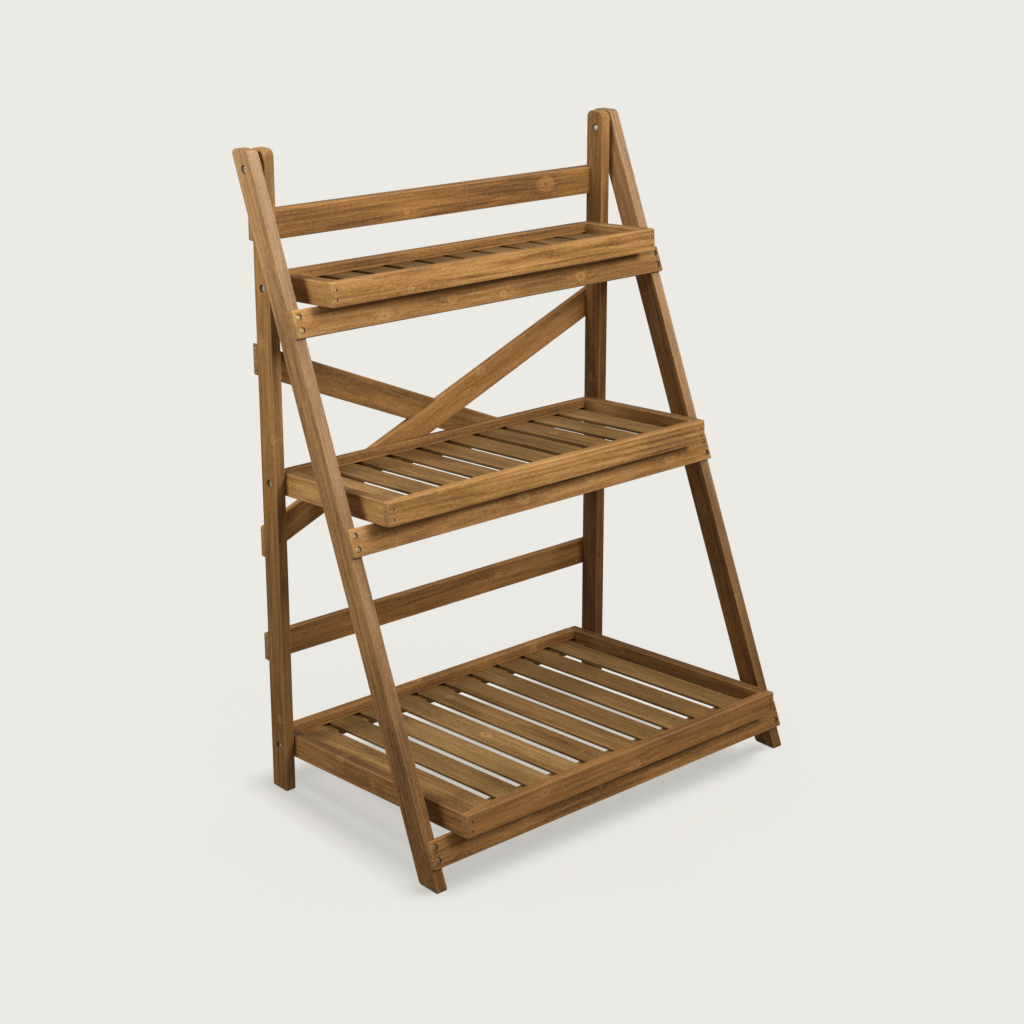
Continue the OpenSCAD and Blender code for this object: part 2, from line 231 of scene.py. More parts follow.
@dataclass(frozen=True)
class WoodFinish:
    """Sawn and brushed fir under a thin brown stain, which looks dull, streaky and warm.

    Attributes:
        name: Name of the material.
        dark: Colour of the late wood and of dark streaks.
        middle: Colour of most of the face.
        light: Colour of the early wood.
        worn: Colour of the rubbed arrises.
        cold: Colour that the olive boards lean to.
        warm: Colour that the orange boards lean to.
        pale: Colour of the painted sheen and bleaching at the upper ends.
        knot: Colour of the knots.
        bark: Colour of the thin ring round a knot.
        painted_shade_colour: Colour of the painted shade on the inward faces, the narrow sides and the
            side boards' tops.
        pore: Dark colour of the end grain.
        pore_wall: Light colour of the end grain.
        ring_gap: Distance between two growth rings, in metres.
        ring_depth: Strength of the late wood lines.
        relief: Depth of the brushed grain, in metres.
        roughness: Roughness of the face.
    """

    name: str
    dark: str = "#5C3C20"
    middle: str = "#996D3B"
    light: str = "#C1955F"
    worn: str = "#CBA06C"
    cold: str = "#7E653A"
    warm: str = "#986335"
    pale: str = "#CDB092"
    knot: str = "#70421F"
    bark: str = "#3E2612"
    painted_shade_colour: str = "#3E2A1A"
    pore: str = "#4A321C"
    pore_wall: str = "#C29B68"
    ring_gap: float = 0.0042
    ring_depth: float = 0.14
    relief: float = 0.00035
    roughness: float = 0.7

    def build(self) -> bpy.types.Material:
        """Builds the material, which reads the attributes that Shape.grain writes.

        Returns:
            The material.
        """
        material = bpy.data.materials.new(self.name)
        add = empty_tree(material)
        names = ("grain", "half", "seed", "stain", "fade", "ends")
        grain, half, seed, stain, fade, ends = (add(ATTRIBUTE, attribute_name=name) for name in names)
        place = add(VECTOR, {0: seed, 1: (7.0, 7.0, 7.0), 2: grain}, operation="MULTIPLY_ADD")
        layers = {}
        for layer in (FIBRES, FLECKS, STREAKS, CLOUDS):
            stretched = add(MAPPING, {"Vector": place, "Scale": layer.waves})
            links = {"Vector": stretched, "Scale": 1.0, "Detail": layer.detail, "Roughness": 0.6}
            layers[layer] = add(MATH, {0: add(NOISE, links), 1: 0.5}, operation="SUBTRACT")
        knot_distance, bow = self.knot_field(add, grain, place)
        late = self.rings(add, grain, seed, place, bow)

        # Lightness of the face: the tone of the board, its figure and the dark late wood
        board = add(SPLIT, {0: stain}).outputs
        lightness = add(MATH, {0: board[0], 1: 0.5}, operation="ADD")
        lines = add(MATH, {0: late, 1: board[2]}, operation="MULTIPLY")
        halo = add(RANGE, {0: knot_distance, 1: 2.2, 2: 0.8}, interpolation_type="SMOOTHSTEP")
        figure = [(wave, layer.share) for layer, wave in layers.items()]
        for part, share in (*figure, (lines, -self.ring_depth), (halo, 0.42)):
            lightness = add(MATH, {0: part, 1: share, 2: lightness}, operation="MULTIPLY_ADD")
        colour = add(RAMP, {0: lightness})
        stops = ((0.08, self.dark), (0.5, self.middle), (0.92, self.light))
        set_ramp(colour, [(position, linear(tint)) for position, tint in stops])

        # Each layer lies over the ones before it: how much of it there is, and its colour. Some layers are
        # painted sheen and painted shade
        overlays: list[tuple] = []

        # Olive or orange cast of each board, which drifts slowly along it
        cast = add(MATH, {0: layers[CLOUDS], 1: 0.5, 2: board[1]}, operation="MULTIPLY_ADD")
        for sign, tint in ((-1.1, self.cold), (1.1, self.warm)):
            slope = {0: cast, 1: sign, 2: -sign / 2}
            overlays.append((add(MATH, slope, operation="MULTIPLY_ADD", use_clamp=True), linear(tint)))

        # The upper ends are paler, more so in the light grain: painted sheen, and partly bleaching
        end_parts = add(SPLIT, {0: ends}).outputs
        upper_sheen_share = add(MATH, {0: add(SPLIT, {0: fade}).outputs[0], 1: end_parts[2]}, operation="MULTIPLY")
        sheen_and_bleach = add(MATH, {0: lightness, 1: 0.7, 2: 0.35}, operation="MULTIPLY_ADD")
        sheen_and_bleach = add(MATH, {0: layers[CLOUDS], 1: 0.6, 2: sheen_and_bleach}, operation="MULTIPLY_ADD")
        sheen_and_bleach = add(MATH, {0: sheen_and_bleach, 1: upper_sheen_share}, operation="MULTIPLY", use_clamp=True)
        overlays.append((sheen_and_bleach, linear(self.pale)))

        # Knots: an orange halo, a brown heart and a thin ring of bark
        heart = add(RANGE, {0: knot_distance, 1: 0.9, 2: 0.1}, interpolation_type="SMOOTHSTEP")
        from_rim = add(MATH, {0: knot_distance, 1: 1.0}, operation="SUBTRACT")
        from_rim = add(MATH, {0: from_rim}, operation="ABSOLUTE")
        rim = add(RANGE, {0: from_rim, 1: 0.3, 2: 0.0}, interpolation_type="SMOOTHSTEP")
        masks = ((halo, 0.15, self.warm), (heart, 0.75, self.knot), (rim, 0.4, self.bark))
        for mask, share, tint in masks:
            overlays.append((add(MATH, {0: mask, 1: share}, operation="MULTIPLY"), linear(tint)))

        # Arrises rubbed lighter: there the face is near two sides of the board at once
        depth = add(VECTOR, {0: grain}, operation="ABSOLUTE")
        gaps = add(SPLIT, {0: add(VECTOR, {0: half, 1: depth}, operation="SUBTRACT")}).outputs
        long_edge = add(MATH, {0: gaps[1], 1: gaps[2]}, operation="MAXIMUM")
        nearer = add(MATH, {0: gaps[1], 1: gaps[2]}, operation="MINIMUM")
        end_edge = add(MATH, {0: gaps[0], 1: nearer}, operation="MAXIMUM")
        edge = add(MATH, {0: long_edge, 1: end_edge}, operation="MINIMUM")
        edge = add(MATH, {0: layers[STREAKS], 1: 0.004, 2: edge}, operation="MULTIPLY_ADD")
        arris = add(RANGE, {0: edge, 1: 0.003, 2: 0.0004, 4: 0.22}, interpolation_type="SMOOTHSTEP")
        overlays.append((arris, linear(self.worn)))

        # End grain drinks more stain and shows its pores; painted shade darkens the inward faces, the
        # narrow sides and the side boards' tops
        speckle = add(NOISE, {"Vector": place, "Scale": 650.0, "Detail": 2.0, "Roughness": 0.6})
        pores = add(RANGE, {0: speckle, 1: 0.38, 2: 0.62})
        walls = {0: pores, 6: linear(self.pore), 7: linear(self.pore_wall)}
        end_grain = add(MIX, walls, data_type="RGBA")
        last = ((end_parts[0], 0.7, end_grain), (end_parts[1], 0.34, linear(self.painted_shade_colour)))
        for mask, share, tint in last:
            overlays.append((add(MATH, {0: mask, 1: share}, operation="MULTIPLY"), tint))
        for amount, tint in overlays:
            colour = add(MIX, {0: amount, 6: colour, 7: tint}, data_type="RGBA")

        # Brushing leaves the late wood proud, so the face catches the light in fine lines
        height = add(MATH, {0: late, 1: 0.5}, operation="MULTIPLY")
        height = add(MATH, {0: layers[FIBRES], 1: 0.9, 2: height}, operation="MULTIPLY_ADD")
        height = add(MATH, {0: layers[STREAKS], 1: 0.5, 2: height}, operation="MULTIPLY_ADD")
        bump = add(BUMP, {"Strength": 0.75, "Distance": self.relief, "Height": height})
        rough = add(MATH, {0: layers[FIBRES], 1: 0.25, 2: self.roughness}, operation="MULTIPLY_ADD")
        sockets = {"Base Color": colour, "Roughness": rough, "Specular IOR Level": 0.15, "Normal": bump}
        add(OUTPUT, {0: add(SHADER, sockets)})
        return material

    def knot_field(
        self, add: AddNode, grain: bpy.types.Node, place: bpy.types.Node
    ) -> tuple[bpy.types.Node, bpy.types.Node]:
        """Builds the distance to the nearest knot.

        Args:
            add: Adds a node to the tree.
            grain: Place in the board.
            place: That place, moved apart for each board.

        Returns:
            The distance counted in radii of the knot, and the same drawn out along the grain.
        """
        ripple = add(NOISE, {"Vector": place, "Scale": 200.0, "Detail": 3.0})
        ripple = add(VECTOR, {0: ripple.outputs["Color"], 1: (0.5, 0.5, 0.5)}, operation="SUBTRACT")
        nearest = None
        bow = None
        for number in range(1, KNOTS_PER_BOARD + 1):
            knot = add(ATTRIBUTE, attribute_name=f"knot_{number}")
            radius = add(SPLIT, {0: knot}).outputs[2]
            offset = add(VECTOR, {0: grain, 1: knot}, operation="SUBTRACT")
            rippled = {0: ripple, 1: (0.008, 0.006, 0.0), 2: offset}
            offset = add(VECTOR, rippled, operation="MULTIPLY_ADD")
            reach = []
            for squeeze in (0.7, 0.28):
                flat = add(VECTOR, {0: offset, 1: (squeeze, 1.0, 0.0)}, operation="MULTIPLY")
                length = add(VECTOR, {0: flat}, operation="LENGTH").outputs["Value"]
                reach.append(add(MATH, {0: length, 1: radius}, operation="DIVIDE"))
            if nearest is None:
                nearest, bow = reach
            else:
                nearest = add(MATH, {0: nearest, 1: reach[0]}, operation="MINIMUM")
                bow = add(MATH, {0: bow, 1: reach[1]}, operation="MINIMUM")
        return nearest, bow

    def rings(
        self,
        add: AddNode,
        grain: bpy.types.Node,
        seed: bpy.types.Node,
        place: bpy.types.Node,
        bow: bpy.types.Node,
    ) -> bpy.types.Node:
        """Builds the late wood of the growth rings round a pith beside the board.

        Args:
            add: Adds a node to the tree.
            grain: Place in the board.
            seed: Random numbers of the board.
            place: Place moved apart for each board.
            bow: Distance to the nearest knot, which the rings sweep round.

        Returns:
            How much late wood there is, from 0 to 1.
        """
        stretched = add(MAPPING, {"Vector": place, "Scale": (2.2, 16.0, 16.0)})
        bend = add(NOISE, {"Vector": stretched, "Scale": 1.0, "Detail": 2.0}).outputs["Color"]
        aside = {0: seed, 1: (0.0, 0.05, -0.05), 2: (0.0, -0.025, -0.012)}
        pith = add(VECTOR, aside, operation="MULTIPLY_ADD")
        from_pith = add(VECTOR, {0: grain, 1: pith}, operation="SUBTRACT")
        bent = {0: bend, 1: (0.0, 0.022, 0.014), 2: from_pith}
        from_pith = add(VECTOR, bent, operation="MULTIPLY_ADD")
        from_pith = add(VECTOR, {0: from_pith, 1: (0.0, 1.0, 1.0)}, operation="MULTIPLY")
        radius = add(VECTOR, {0: from_pith}, operation="LENGTH").outputs["Value"]
        tilt = {0: add(SPLIT, {0: seed}).outputs[2], 1: 0.04, 2: -0.02}
        slope = add(MATH, tilt, operation="MULTIPLY_ADD")
        along = add(SPLIT, {0: grain}).outputs[0]
        radius = add(MATH, {0: along, 1: slope, 2: radius}, operation="MULTIPLY_ADD")
        sway = add(RANGE, {0: bow, 1: 3.6, 2: 0.0, 4: 0.006}, interpolation_type="SMOOTHERSTEP")
        radius = add(MATH, {0: radius, 1: sway}, operation="ADD")
        turn = add(MATH, {0: radius, 1: self.ring_gap}, operation="DIVIDE")
        turn = add(MATH, {0: turn}, operation="FRACT")
        late = add(RAMP, {0: turn})
        shades = ((0.0, 0.25), (0.1, 0.0), (0.5, 0.12), (0.86, 1.0), (0.97, 0.7), (1.0, 0.25))
        set_ramp(late, [(position, (shade, shade, shade, 1.0)) for position, shade in shades])
        # The lines come and go along the board
        stretched = add(MAPPING, {"Vector": place, "Scale": (4.0, 40.0, 40.0)})
        strong = add(NOISE, {"Vector": stretched, "Scale": 1.0, "Detail": 1.0})
        strong = add(RANGE, {0: strong, 1: 0.34, 2: 0.6, 3: 0.4}, interpolation_type="SMOOTHSTEP")
        return add(MATH, {0: late, 1: strong}, operation="MULTIPLY")


@dataclass(frozen=True)
class MetalFinish:
    """Plated steel with fine handling marks.

    Attributes:
        name: Name of the material.
        bright: Colour of the plating.
        dull: Colour of its dull patches.
        roughness: Roughness of the plating.
        marks: Dull patches per metre, which are over 1 mm wide so that they show.
    """

    name: str
    bright: str
    dull: str
    roughness: float
    marks: float = 700.0

    def build(self) -> bpy.types.Material:
        """Builds the material.

        Returns:
            The material.
        """
        material = bpy.data.materials.new(self.name)
        add = empty_tree(material)
        place = add(PLACE).outputs["Object"]
        patches = add(NOISE, {"Vector": place, "Scale": self.marks, "Detail": 3.0})
        colour = add(RAMP, {0: patches})
        set_ramp(colour, [(0.3, linear(self.dull)), (0.65, linear(self.bright))])
        rough = add(RANGE, {0: patches, 3: self.roughness + 0.1, 4: self.roughness - 0.05})
        bump = add(BUMP, {"Strength": 0.3, "Distance": 0.0001, "Height": patches})
        sockets = {"Base Color": colour, "Metallic": 1.0, "Roughness": rough, "Normal": bump}
        add(OUTPUT, {0: add(SHADER, sockets)})
        return material


FINISHES = {
    # Brushed fir, stained once: warm brown with darker late wood lines and rubbed light arrises
    Slot.FIR: WoodFinish("fir_brown_stained_brushed"),
    # Thin planed fir under the same stain: plainer, colder and flatter than the boards
    Slot.SLATS: WoodFinish(
        "fir_slat_olive_stained",
        dark="#5A3E1C",
        middle="#89673A",
        light="#B3905C",
        worn="#B3905C",
        relief=0.00025,
        ring_depth=0.08,
    ),
    # Zinc-plated steel of the bolts, nuts and washers: a pale point of light in each recess
    Slot.ZINC: MetalFinish("steel_zinc_plated", "#F4F0E8", "#C9C3B6", 0.5),
    # Yellow-passivated steel of the wood screws: dull brass with brown patches
    Slot.BRASS: MetalFinish("steel_yellow_passivated", "#B29A76", "#4A3B2A", 0.46),
}


@cache
def material_of(slot: Slot) -> bpy.types.Material:
    """Gives the material of a slot, which is built when it is first asked for."""
    return FINISHES[slot].build()


@dataclass(frozen=True)
class Tone:
    """How one board took the stain, and the painted shade and sheen laid on it.

    Attributes:
        depth: Added to the lightness of the board; below zero is darker.
        warmth: 0 is olive brown and 1 is orange brown.
        knots: Place of each knot along and across the board, and its radius, in millimetres;
            None puts them at random.
        fall: Change of depth from the upper or right end to the other end; on the posts and legs it is
            painted shade, darker towards the foot.
        pale: How much painted sheen and bleaching the upper end shows.
        rings: Strength of its growth ring lines, 1 for a common board.
        dark_edges: How much painted shade its narrow sides hold.
        inner: How much painted shade the face towards the inside of the stand holds.
    """

    depth: float = 0.0
    warmth: float = 0.5
    knots: tuple[tuple[float, float, float], ...] | None = None
    fall: float = 0.0
    pale: float = 0.0
    rings: float = 1.0
    dark_edges: float = 0.0
    inner: float = 0.6


@dataclass(frozen=True)
class Box:
    """The room that a piece takes up along the axes of some space.

    Attributes:
        low: Its lowest corner, in metres.
        high: Its highest corner.
    """

    low: Vector
    high: Vector

    @property
    def centre(self) -> Vector:
        """Its middle."""
        return (self.low + self.high) / 2

    @property
    def size(self) -> Vector:
        """Its three lengths."""
        return self.high - self.low

    @property
    def side(self) -> int:
        """The side of the stand that it is on: 1 on the right and -1 on the left."""
        return 1 if self.centre.x > 0 else -1

    def face(self, side: int) -> float:
        """Gives the X of its right face for side 1, or of its left face for side -1."""
        return self.high.x if side > 0 else self.low.x

    def grown(self, down: tuple[float, ...], up: tuple[float, ...]) -> "Box":
        """Gives a larger box.

        Args:
            down: How far the lowest corner moves down along each axis.
            up: How far the highest corner moves up along each axis.

        Returns:
            The new box.
        """
        return Box(self.low - Vector(down), self.high + Vector(up))

    def holds(self, place: Vector, axes: str = "xyz") -> bool:
        """Says whether a place lies between its faces.

        Args:
            place: The place.
            axes: The axes that count.

        Returns:
            Whether it does along all of them.
        """
        return all(getattr(self.low, a) < getattr(place, a) < getattr(self.high, a) for a in axes)


class Space:
    """A frame of reference turned against the stand's own, in which a leaning board is square."""

    def __init__(self, turn: Matrix) -> None:
        """Keeps the turn, which takes a place in this space to its place in the stand."""
        self.turn = turn
        self.back = turn.inverted()

    @classmethod
    def leaning(cls, degrees: float) -> "Space":
        """Gives the space that leans to the rear at its top by an angle in degrees."""
        return cls(Matrix.Rotation(math.radians(-degrees), 4, "X"))

    @classmethod
    def sloping(cls, node: str) -> "Space":
        """Gives the space whose X axis runs along a sloping rear member.

        Args:
            node: The CAD node of the member.

        Returns:
            The space.
        """
        places = np.array([v.co for v in frame["nodes"][node].data.vertices])
        left = places[places[:, 0] < places[:, 0].min() + END_DEPTH].mean(0)
        right = places[places[:, 0] > places[:, 0].max() - END_DEPTH].mean(0)
        angle = math.atan2(right[2] - left[2], right[0] - left[0])
        return cls(Matrix.Rotation(-angle, 4, "Y"))

    def measure(self, node: str) -> Box:
        """Gives the box of a CAD node in this space."""
        places = np.array([self.back @ v.co for v in frame["nodes"][node].data.vertices])
        return Box(Vector(places.min(0)), Vector(places.max(0)))

    def solids(self, node: str) -> list[Box]:
        """Gives the box of every separate solid of a CAD node in this space.

        Args:
            node: Name of the node.

        Returns:
            The boxes, in the order of their places.
        """
        mesh = frame["nodes"][node].data
        places = [self.back @ v.co for v in mesh.vertices]
        keys = [tuple(round(c * 1e6) for c in place) for place in places]
        parent = {key: key for key in keys}

        def root(key: tuple) -> tuple:
            """Finds the key that stands for a vertex's solid.

            Args:
                key: The vertex's key.

            Returns:
                The key of its solid.
            """
            while parent[key] != key:
                parent[key] = parent[parent[key]]
                key = parent[key]
            return key

        for edge in mesh.edges:
            parent[root(keys[edge.vertices[0]])] = root(keys[edge.vertices[1]])
        groups: dict[tuple, list[Vector]] = {}
        for key, place in zip(keys, places):
            groups.setdefault(root(key), []).append(place)
        corners = [(np.min(group, axis=0), np.max(group, axis=0)) for group in groups.values()]
        corners.sort(key=lambda pair: tuple(np.round(pair[0], 5)))
        return [Box(Vector(low), Vector(high)) for low, high in corners]


SQUARE = Space(Matrix.Identity(4))


def at_x(x: float, place: Vector) -> Vector:
    """Gives a place moved along X to a new X."""
    return Vector((x, place.y, place.z))


class Shape:
    """A piece while it is modelled, in object mode between any two calls."""

    def __init__(self, obj: bpy.types.Object) -> None:
        """Takes over the mesh object that holds the piece."""
        self.obj = obj

    @classmethod
    def adopt(cls, name: str) -> "Shape":
        """Names the active object and puts its place and size into its mesh.

        Args:
            name: Name of the piece.

        Returns:
            The shape that holds it.
        """
        obj = bpy.context.object
        obj.name = name
        obj.data.name = name
        bpy.ops.object.transform_apply(location=True, rotation=True, scale=True)
        return cls(obj)

    @classmethod
    def block(cls, name: str, box: Box) -> "Shape":
        """Adds a block.

        Args:
            name: Name of the piece.
            box: The room that it takes up.

        Returns:
            The new shape.
        """
        bpy.ops.object.select_all(action="DESELECT")
        bpy.ops.mesh.primitive_cube_add(size=1, location=box.centre, scale=box.size)
        return cls.adopt(name)

    @classmethod
    def rod(cls, name: str, start: Vector, end: Vector, radius: float, sides: int = 32) -> "Shape":
        """Adds a rod between two points.

        Args:
            name: Name of the piece.
            start: Centre of one end.
            end: Centre of the other end.
            radius: Its radius at the corners.
            sides: Number of its sides.

        Returns:
            The new shape.
        """
        bpy.ops.object.select_all(action="DESELECT")
        along = end - start
        bpy.ops.mesh.primitive_cylinder_add(
            vertices=sides,
            radius=radius,
            depth=along.length,
            location=(start + end) / 2,
            rotation=along.to_track_quat("Z", "Y").to_euler(),
        )
        return cls.adopt(name)

    def activate(self) -> None:
        """Makes this the only selected object and the active one."""
        bpy.ops.object.select_all(action="DESELECT")
        self.obj.select_set(True)
        bpy.context.view_layer.objects.active = self.obj

    def bevel_edges(self, test: EdgeTest, offset: float, segments: int) -> "Shape":
        """Bevels the edges that pass a test.

        Args:
            test: Takes the middle of an edge and its direction.
            offset: Width of the bevel.
            segments: Number of its faces.

        Returns:
            This shape.
        """
        self.activate()
        bpy.ops.object.mode_set(mode="EDIT")
        bpy.ops.mesh.select_mode(type="EDGE")
        bpy.ops.mesh.select_all(action="DESELECT")
        bpy.ops.object.mode_set(mode="OBJECT")
        places = self.obj.data.vertices
        for edge in self.obj.data.edges:
            a, b = (places[i].co for i in edge.vertices)
            edge.select = test((a + b) / 2, (b - a).normalized())
        bpy.ops.object.mode_set(mode="EDIT")
        bpy.ops.mesh.bevel(offset=offset, segments=segments)
        bpy.ops.object.mode_set(mode="OBJECT")
        return self

    def slice_off(self, point: Vector, outward: Vector) -> "Shape":
        """Cuts away what lies past a plane and closes the cut.

        Args:
            point: A point on the plane.
            outward: Its normal, towards what is cut away.

        Returns:
            This shape.
        """
        self.activate()
        bpy.ops.object.mode_set(mode="EDIT")
        bpy.ops.mesh.select_all(action="SELECT")
        bpy.ops.mesh.bisect(plane_co=point, plane_no=outward, use_fill=True, clear_outer=True)
        bpy.ops.object.mode_set(mode="OBJECT")
        return self

    def modify(self, kind: str, **settings: object) -> "Shape":
        """Adds a modifier and applies it.

        Args:
            kind: Type of the modifier.
            **settings: Its properties.

        Returns:
            This shape.
        """
        self.activate()
        modifier = self.obj.modifiers.new(kind.title(), kind)
        for name, value in settings.items():
            setattr(modifier, name, value)
        bpy.ops.object.modifier_apply(modifier=modifier.name)
        return self

    def ease(self, width: float, segments: int = 3) -> "Shape":
        """Rounds every arris of the piece.

        Args:
            width: Width that is taken off, in metres.
            segments: Number of faces in the rounding.

        Returns:
            This shape.
        """
        limits = {"limit_method": "ANGLE", "angle_limit": math.radians(30)}
        return self.modify("BEVEL", width=width, segments=segments, **limits)

    def cut(self, *cutters: "Shape") -> "Shape":
        """Takes other shapes away from this one and removes them.

        Args:
            *cutters: The shapes that are taken away.

        Returns:
            This shape.
        """
        for cutter in cutters:
            self.modify("BOOLEAN", operation="DIFFERENCE", object=cutter.obj, solver="EXACT")
            cutter.discard()
        return self

    def join(self, *others: "Shape") -> "Shape":
        """Joins other shapes into this one.

        Args:
            *others: The shapes that become part of it.

        Returns:
            This shape.
        """
        self.activate()
        for other in others:
            other.obj.select_set(True)
        bpy.ops.object.join()
        return self

    def place(self, turn: Matrix) -> "Shape":
        """Moves the mesh by a matrix and leaves the object at the origin.

        Args:
            turn: The matrix.

        Returns:
            This shape.
        """
        self.activate()
        self.obj.matrix_world = turn
        bpy.ops.object.transform_apply(location=True, rotation=True, scale=True)
        return self

    def copy(self, name: str, turn: Matrix) -> "Shape":
        """Copies the piece with a mesh of its own to another place.

        Args:
            name: Name of the copy.
            turn: Takes the piece to the place of the copy.

        Returns:
            The copy.
        """
        twin = self.obj.copy()
        twin.data = self.obj.data.copy()
        twin.name = name
        twin.data.name = name
        bpy.context.scene.collection.objects.link(twin)
        return Shape(twin).place(turn)

    def discard(self) -> None:
        """Removes the piece from the scene."""
        bpy.data.objects.remove(self.obj)

    def smooth(self, degrees: float = 32) -> "Shape":
        """Shades the piece smoothly where its faces meet at less than an angle.

        Args:
            degrees: The angle.

        Returns:
            This shape.
        """
        self.activate()
        bpy.ops.object.shade_smooth_by_angle(angle=math.radians(degrees))
        return self

    def grain(self, box: Box, tone: Tone, inward: int = 0) -> "Shape":
        """Writes the grain attributes of a board, which lies square in its space, with its painted shade
        and sheen.

        Args:
            box: Its room before any end was cut slanting.
            tone: How it took the stain, and its painted shade and sheen.
            inward: Sign of X towards the inside of the stand, on a board at its side.

        Returns:
            This shape.
        """
        mesh = self.obj.data
        size = np.array(box.size)
        order = np.argsort(-size, kind="stable")
        long_axis, wide_axis = int(order[0]), int(order[1])
        places = np.empty(len(mesh.vertices) * 3, np.float32)
        mesh.vertices.foreach_get("co", places)
        places = places.reshape(-1, 3) - np.array(box.centre)
        rng = random.Random(self.obj.name)
        count = len(mesh.vertices)
        rows = {
            "grain": places[:, order],
            "half": np.tile(size[order] / 2, (count, 1)),
            "seed": np.tile([rng.random() for _ in range(3)], (count, 1)),
            "stain": np.tile([tone.depth, tone.warmth, tone.rings], (count, 1)),
            "fade": np.zeros((count, 3)),
        }
        far = 0.5 - rows["grain"][:, 0] / size[long_axis]
        # The depth drifts along the board; on the posts and legs this is painted shade, darker towards the
        # foot
        rows["stain"][:, 0] += far * tone.fall
        # Painted sheen and bleaching towards the upper end
        rows["fade"][:, 0] = np.clip(1 - far, 0, 1) ** FADE_POWER * tone.pale
        knots = list(tone.knots or ())
        if tone.knots is None:
            for _ in range(int(size[long_axis] / KNOT_SPACING + rng.random())):
                along, across = (
                    rng.uniform(-reach, reach) * size[axis] * 1000
                    for reach, axis in zip(KNOT_REACH, (long_axis, wide_axis))
                )
                knots.append((along, across, rng.uniform(*KNOT_RADII)))
        knots += [NO_KNOT] * (KNOTS_PER_BOARD - len(knots))
        for number, knot in enumerate(knots[:KNOTS_PER_BOARD], 1):
            rows[f"knot_{number}"] = np.tile(np.array(knot) / 1000, (count, 1))
        for name, values in rows.items():
            attribute = mesh.attributes.new(name, "FLOAT_VECTOR", "POINT")
            attribute.data.foreach_set("vector", values.astype(np.float32).ravel())
        # For each face: its end grain, its painted shade and its share of the painted sheen
        ends = mesh.attributes.new("ends", "FLOAT_VECTOR", "FACE")
        values = []
        for face in mesh.polygons:
            narrow = abs(face.normal[wide_axis]) > FACING
            # Painted shade: the inward faces, the narrow sides and the tops of a tray's side boards are
            # darkened
            painted_shade = 0.0
            if face.normal.x * inward > PARALLEL:
                painted_shade = tone.inner
            elif tone.dark_edges and narrow:
                painted_shade = tone.dark_edges
            elif inward and long_axis == 1 and face.normal.z > PARALLEL:
                painted_shade = SIDE_TOP_SHADE
            sawn = float(abs(face.normal[long_axis]) > FACING)
            values.append((sawn, painted_shade, 1.0 if narrow else BROAD_SHEEN_AND_BLEACH))
        ends.data.foreach_set("vector", np.array(values, np.float32).ravel())
        return self

    def hand_over(self, body: Body, slot: Slot, *nodes: str) -> "Shape":
        """Gives the finished piece its material and its place in the frame.

        Args:
            body: The CAD body that it rides on.
            slot: The record's slot of its finish.
            *nodes: The CAD nodes that it stands for.

        Returns:
            This shape.
        """
        self.obj.data.materials.clear()
        self.obj.data.materials.append(material_of(slot))
        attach(self.obj, body.value)
        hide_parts(*nodes)
        LOG.info("piece %s rides on %s", self.obj.name, body.value)
        return self


@dataclass(frozen=True)
class WoodScrew:
    """A countersunk wood screw with a cross recess.

    Attributes:
        radius: Radius of its head.
        height: Height of its head.
        length: Length of its shank.
        dome: Share of the head's height that is rounded.
        cross: Reach of the cross recess, as a share of the radius.
        arm: Half the width of its arms, as a share of that reach.
        floor: Height that is left under it, as a share of the head's.
        root: How far the shank reaches into the head.
    """

    radius: float
    height: float
    length: float
    dome: float = 0.55
    cross: float = 0.55
    arm: float = 0.28
    floor: float = 0.35
    root: float = 0.0002

    def model(self) -> Shape:
        """Models the screw along +Y with the seat of its head at the origin.

        Returns:
            The screw, whose head faces -Y.
        """
        seat = Vector((0, 0, 0))
        head = Shape.rod("screw_head", seat, Vector((0, -self.height, 0)), self.radius, 40)
        head.bevel_edges(
            lambda mid, way: mid.y < -self.height + NEAR and abs(way.y) < ACROSS,
            self.height * self.dome,
            4,
        )
        reach = self.radius * self.cross
        for long, short in ((reach, reach * self.arm), (reach * self.arm, reach)):
            low = Vector((-long, -self.height - PIERCE, -short))
            head.cut(Shape.block("cross", Box(low, Vector((long, -self.height * self.floor, short)))))
        start, end = Vector((0, -self.root, 0)), Vector((0, self.length, 0))
        return head.join(Shape.rod("screw_shank", start, end, self.radius * 0.5, 24)).smooth()


RAIL_SCREW = WoodScrew(0.00375, 0.0016, 0.012)
CORNER_SCREW = WoodScrew(0.001995, 0.0009, 0.006)


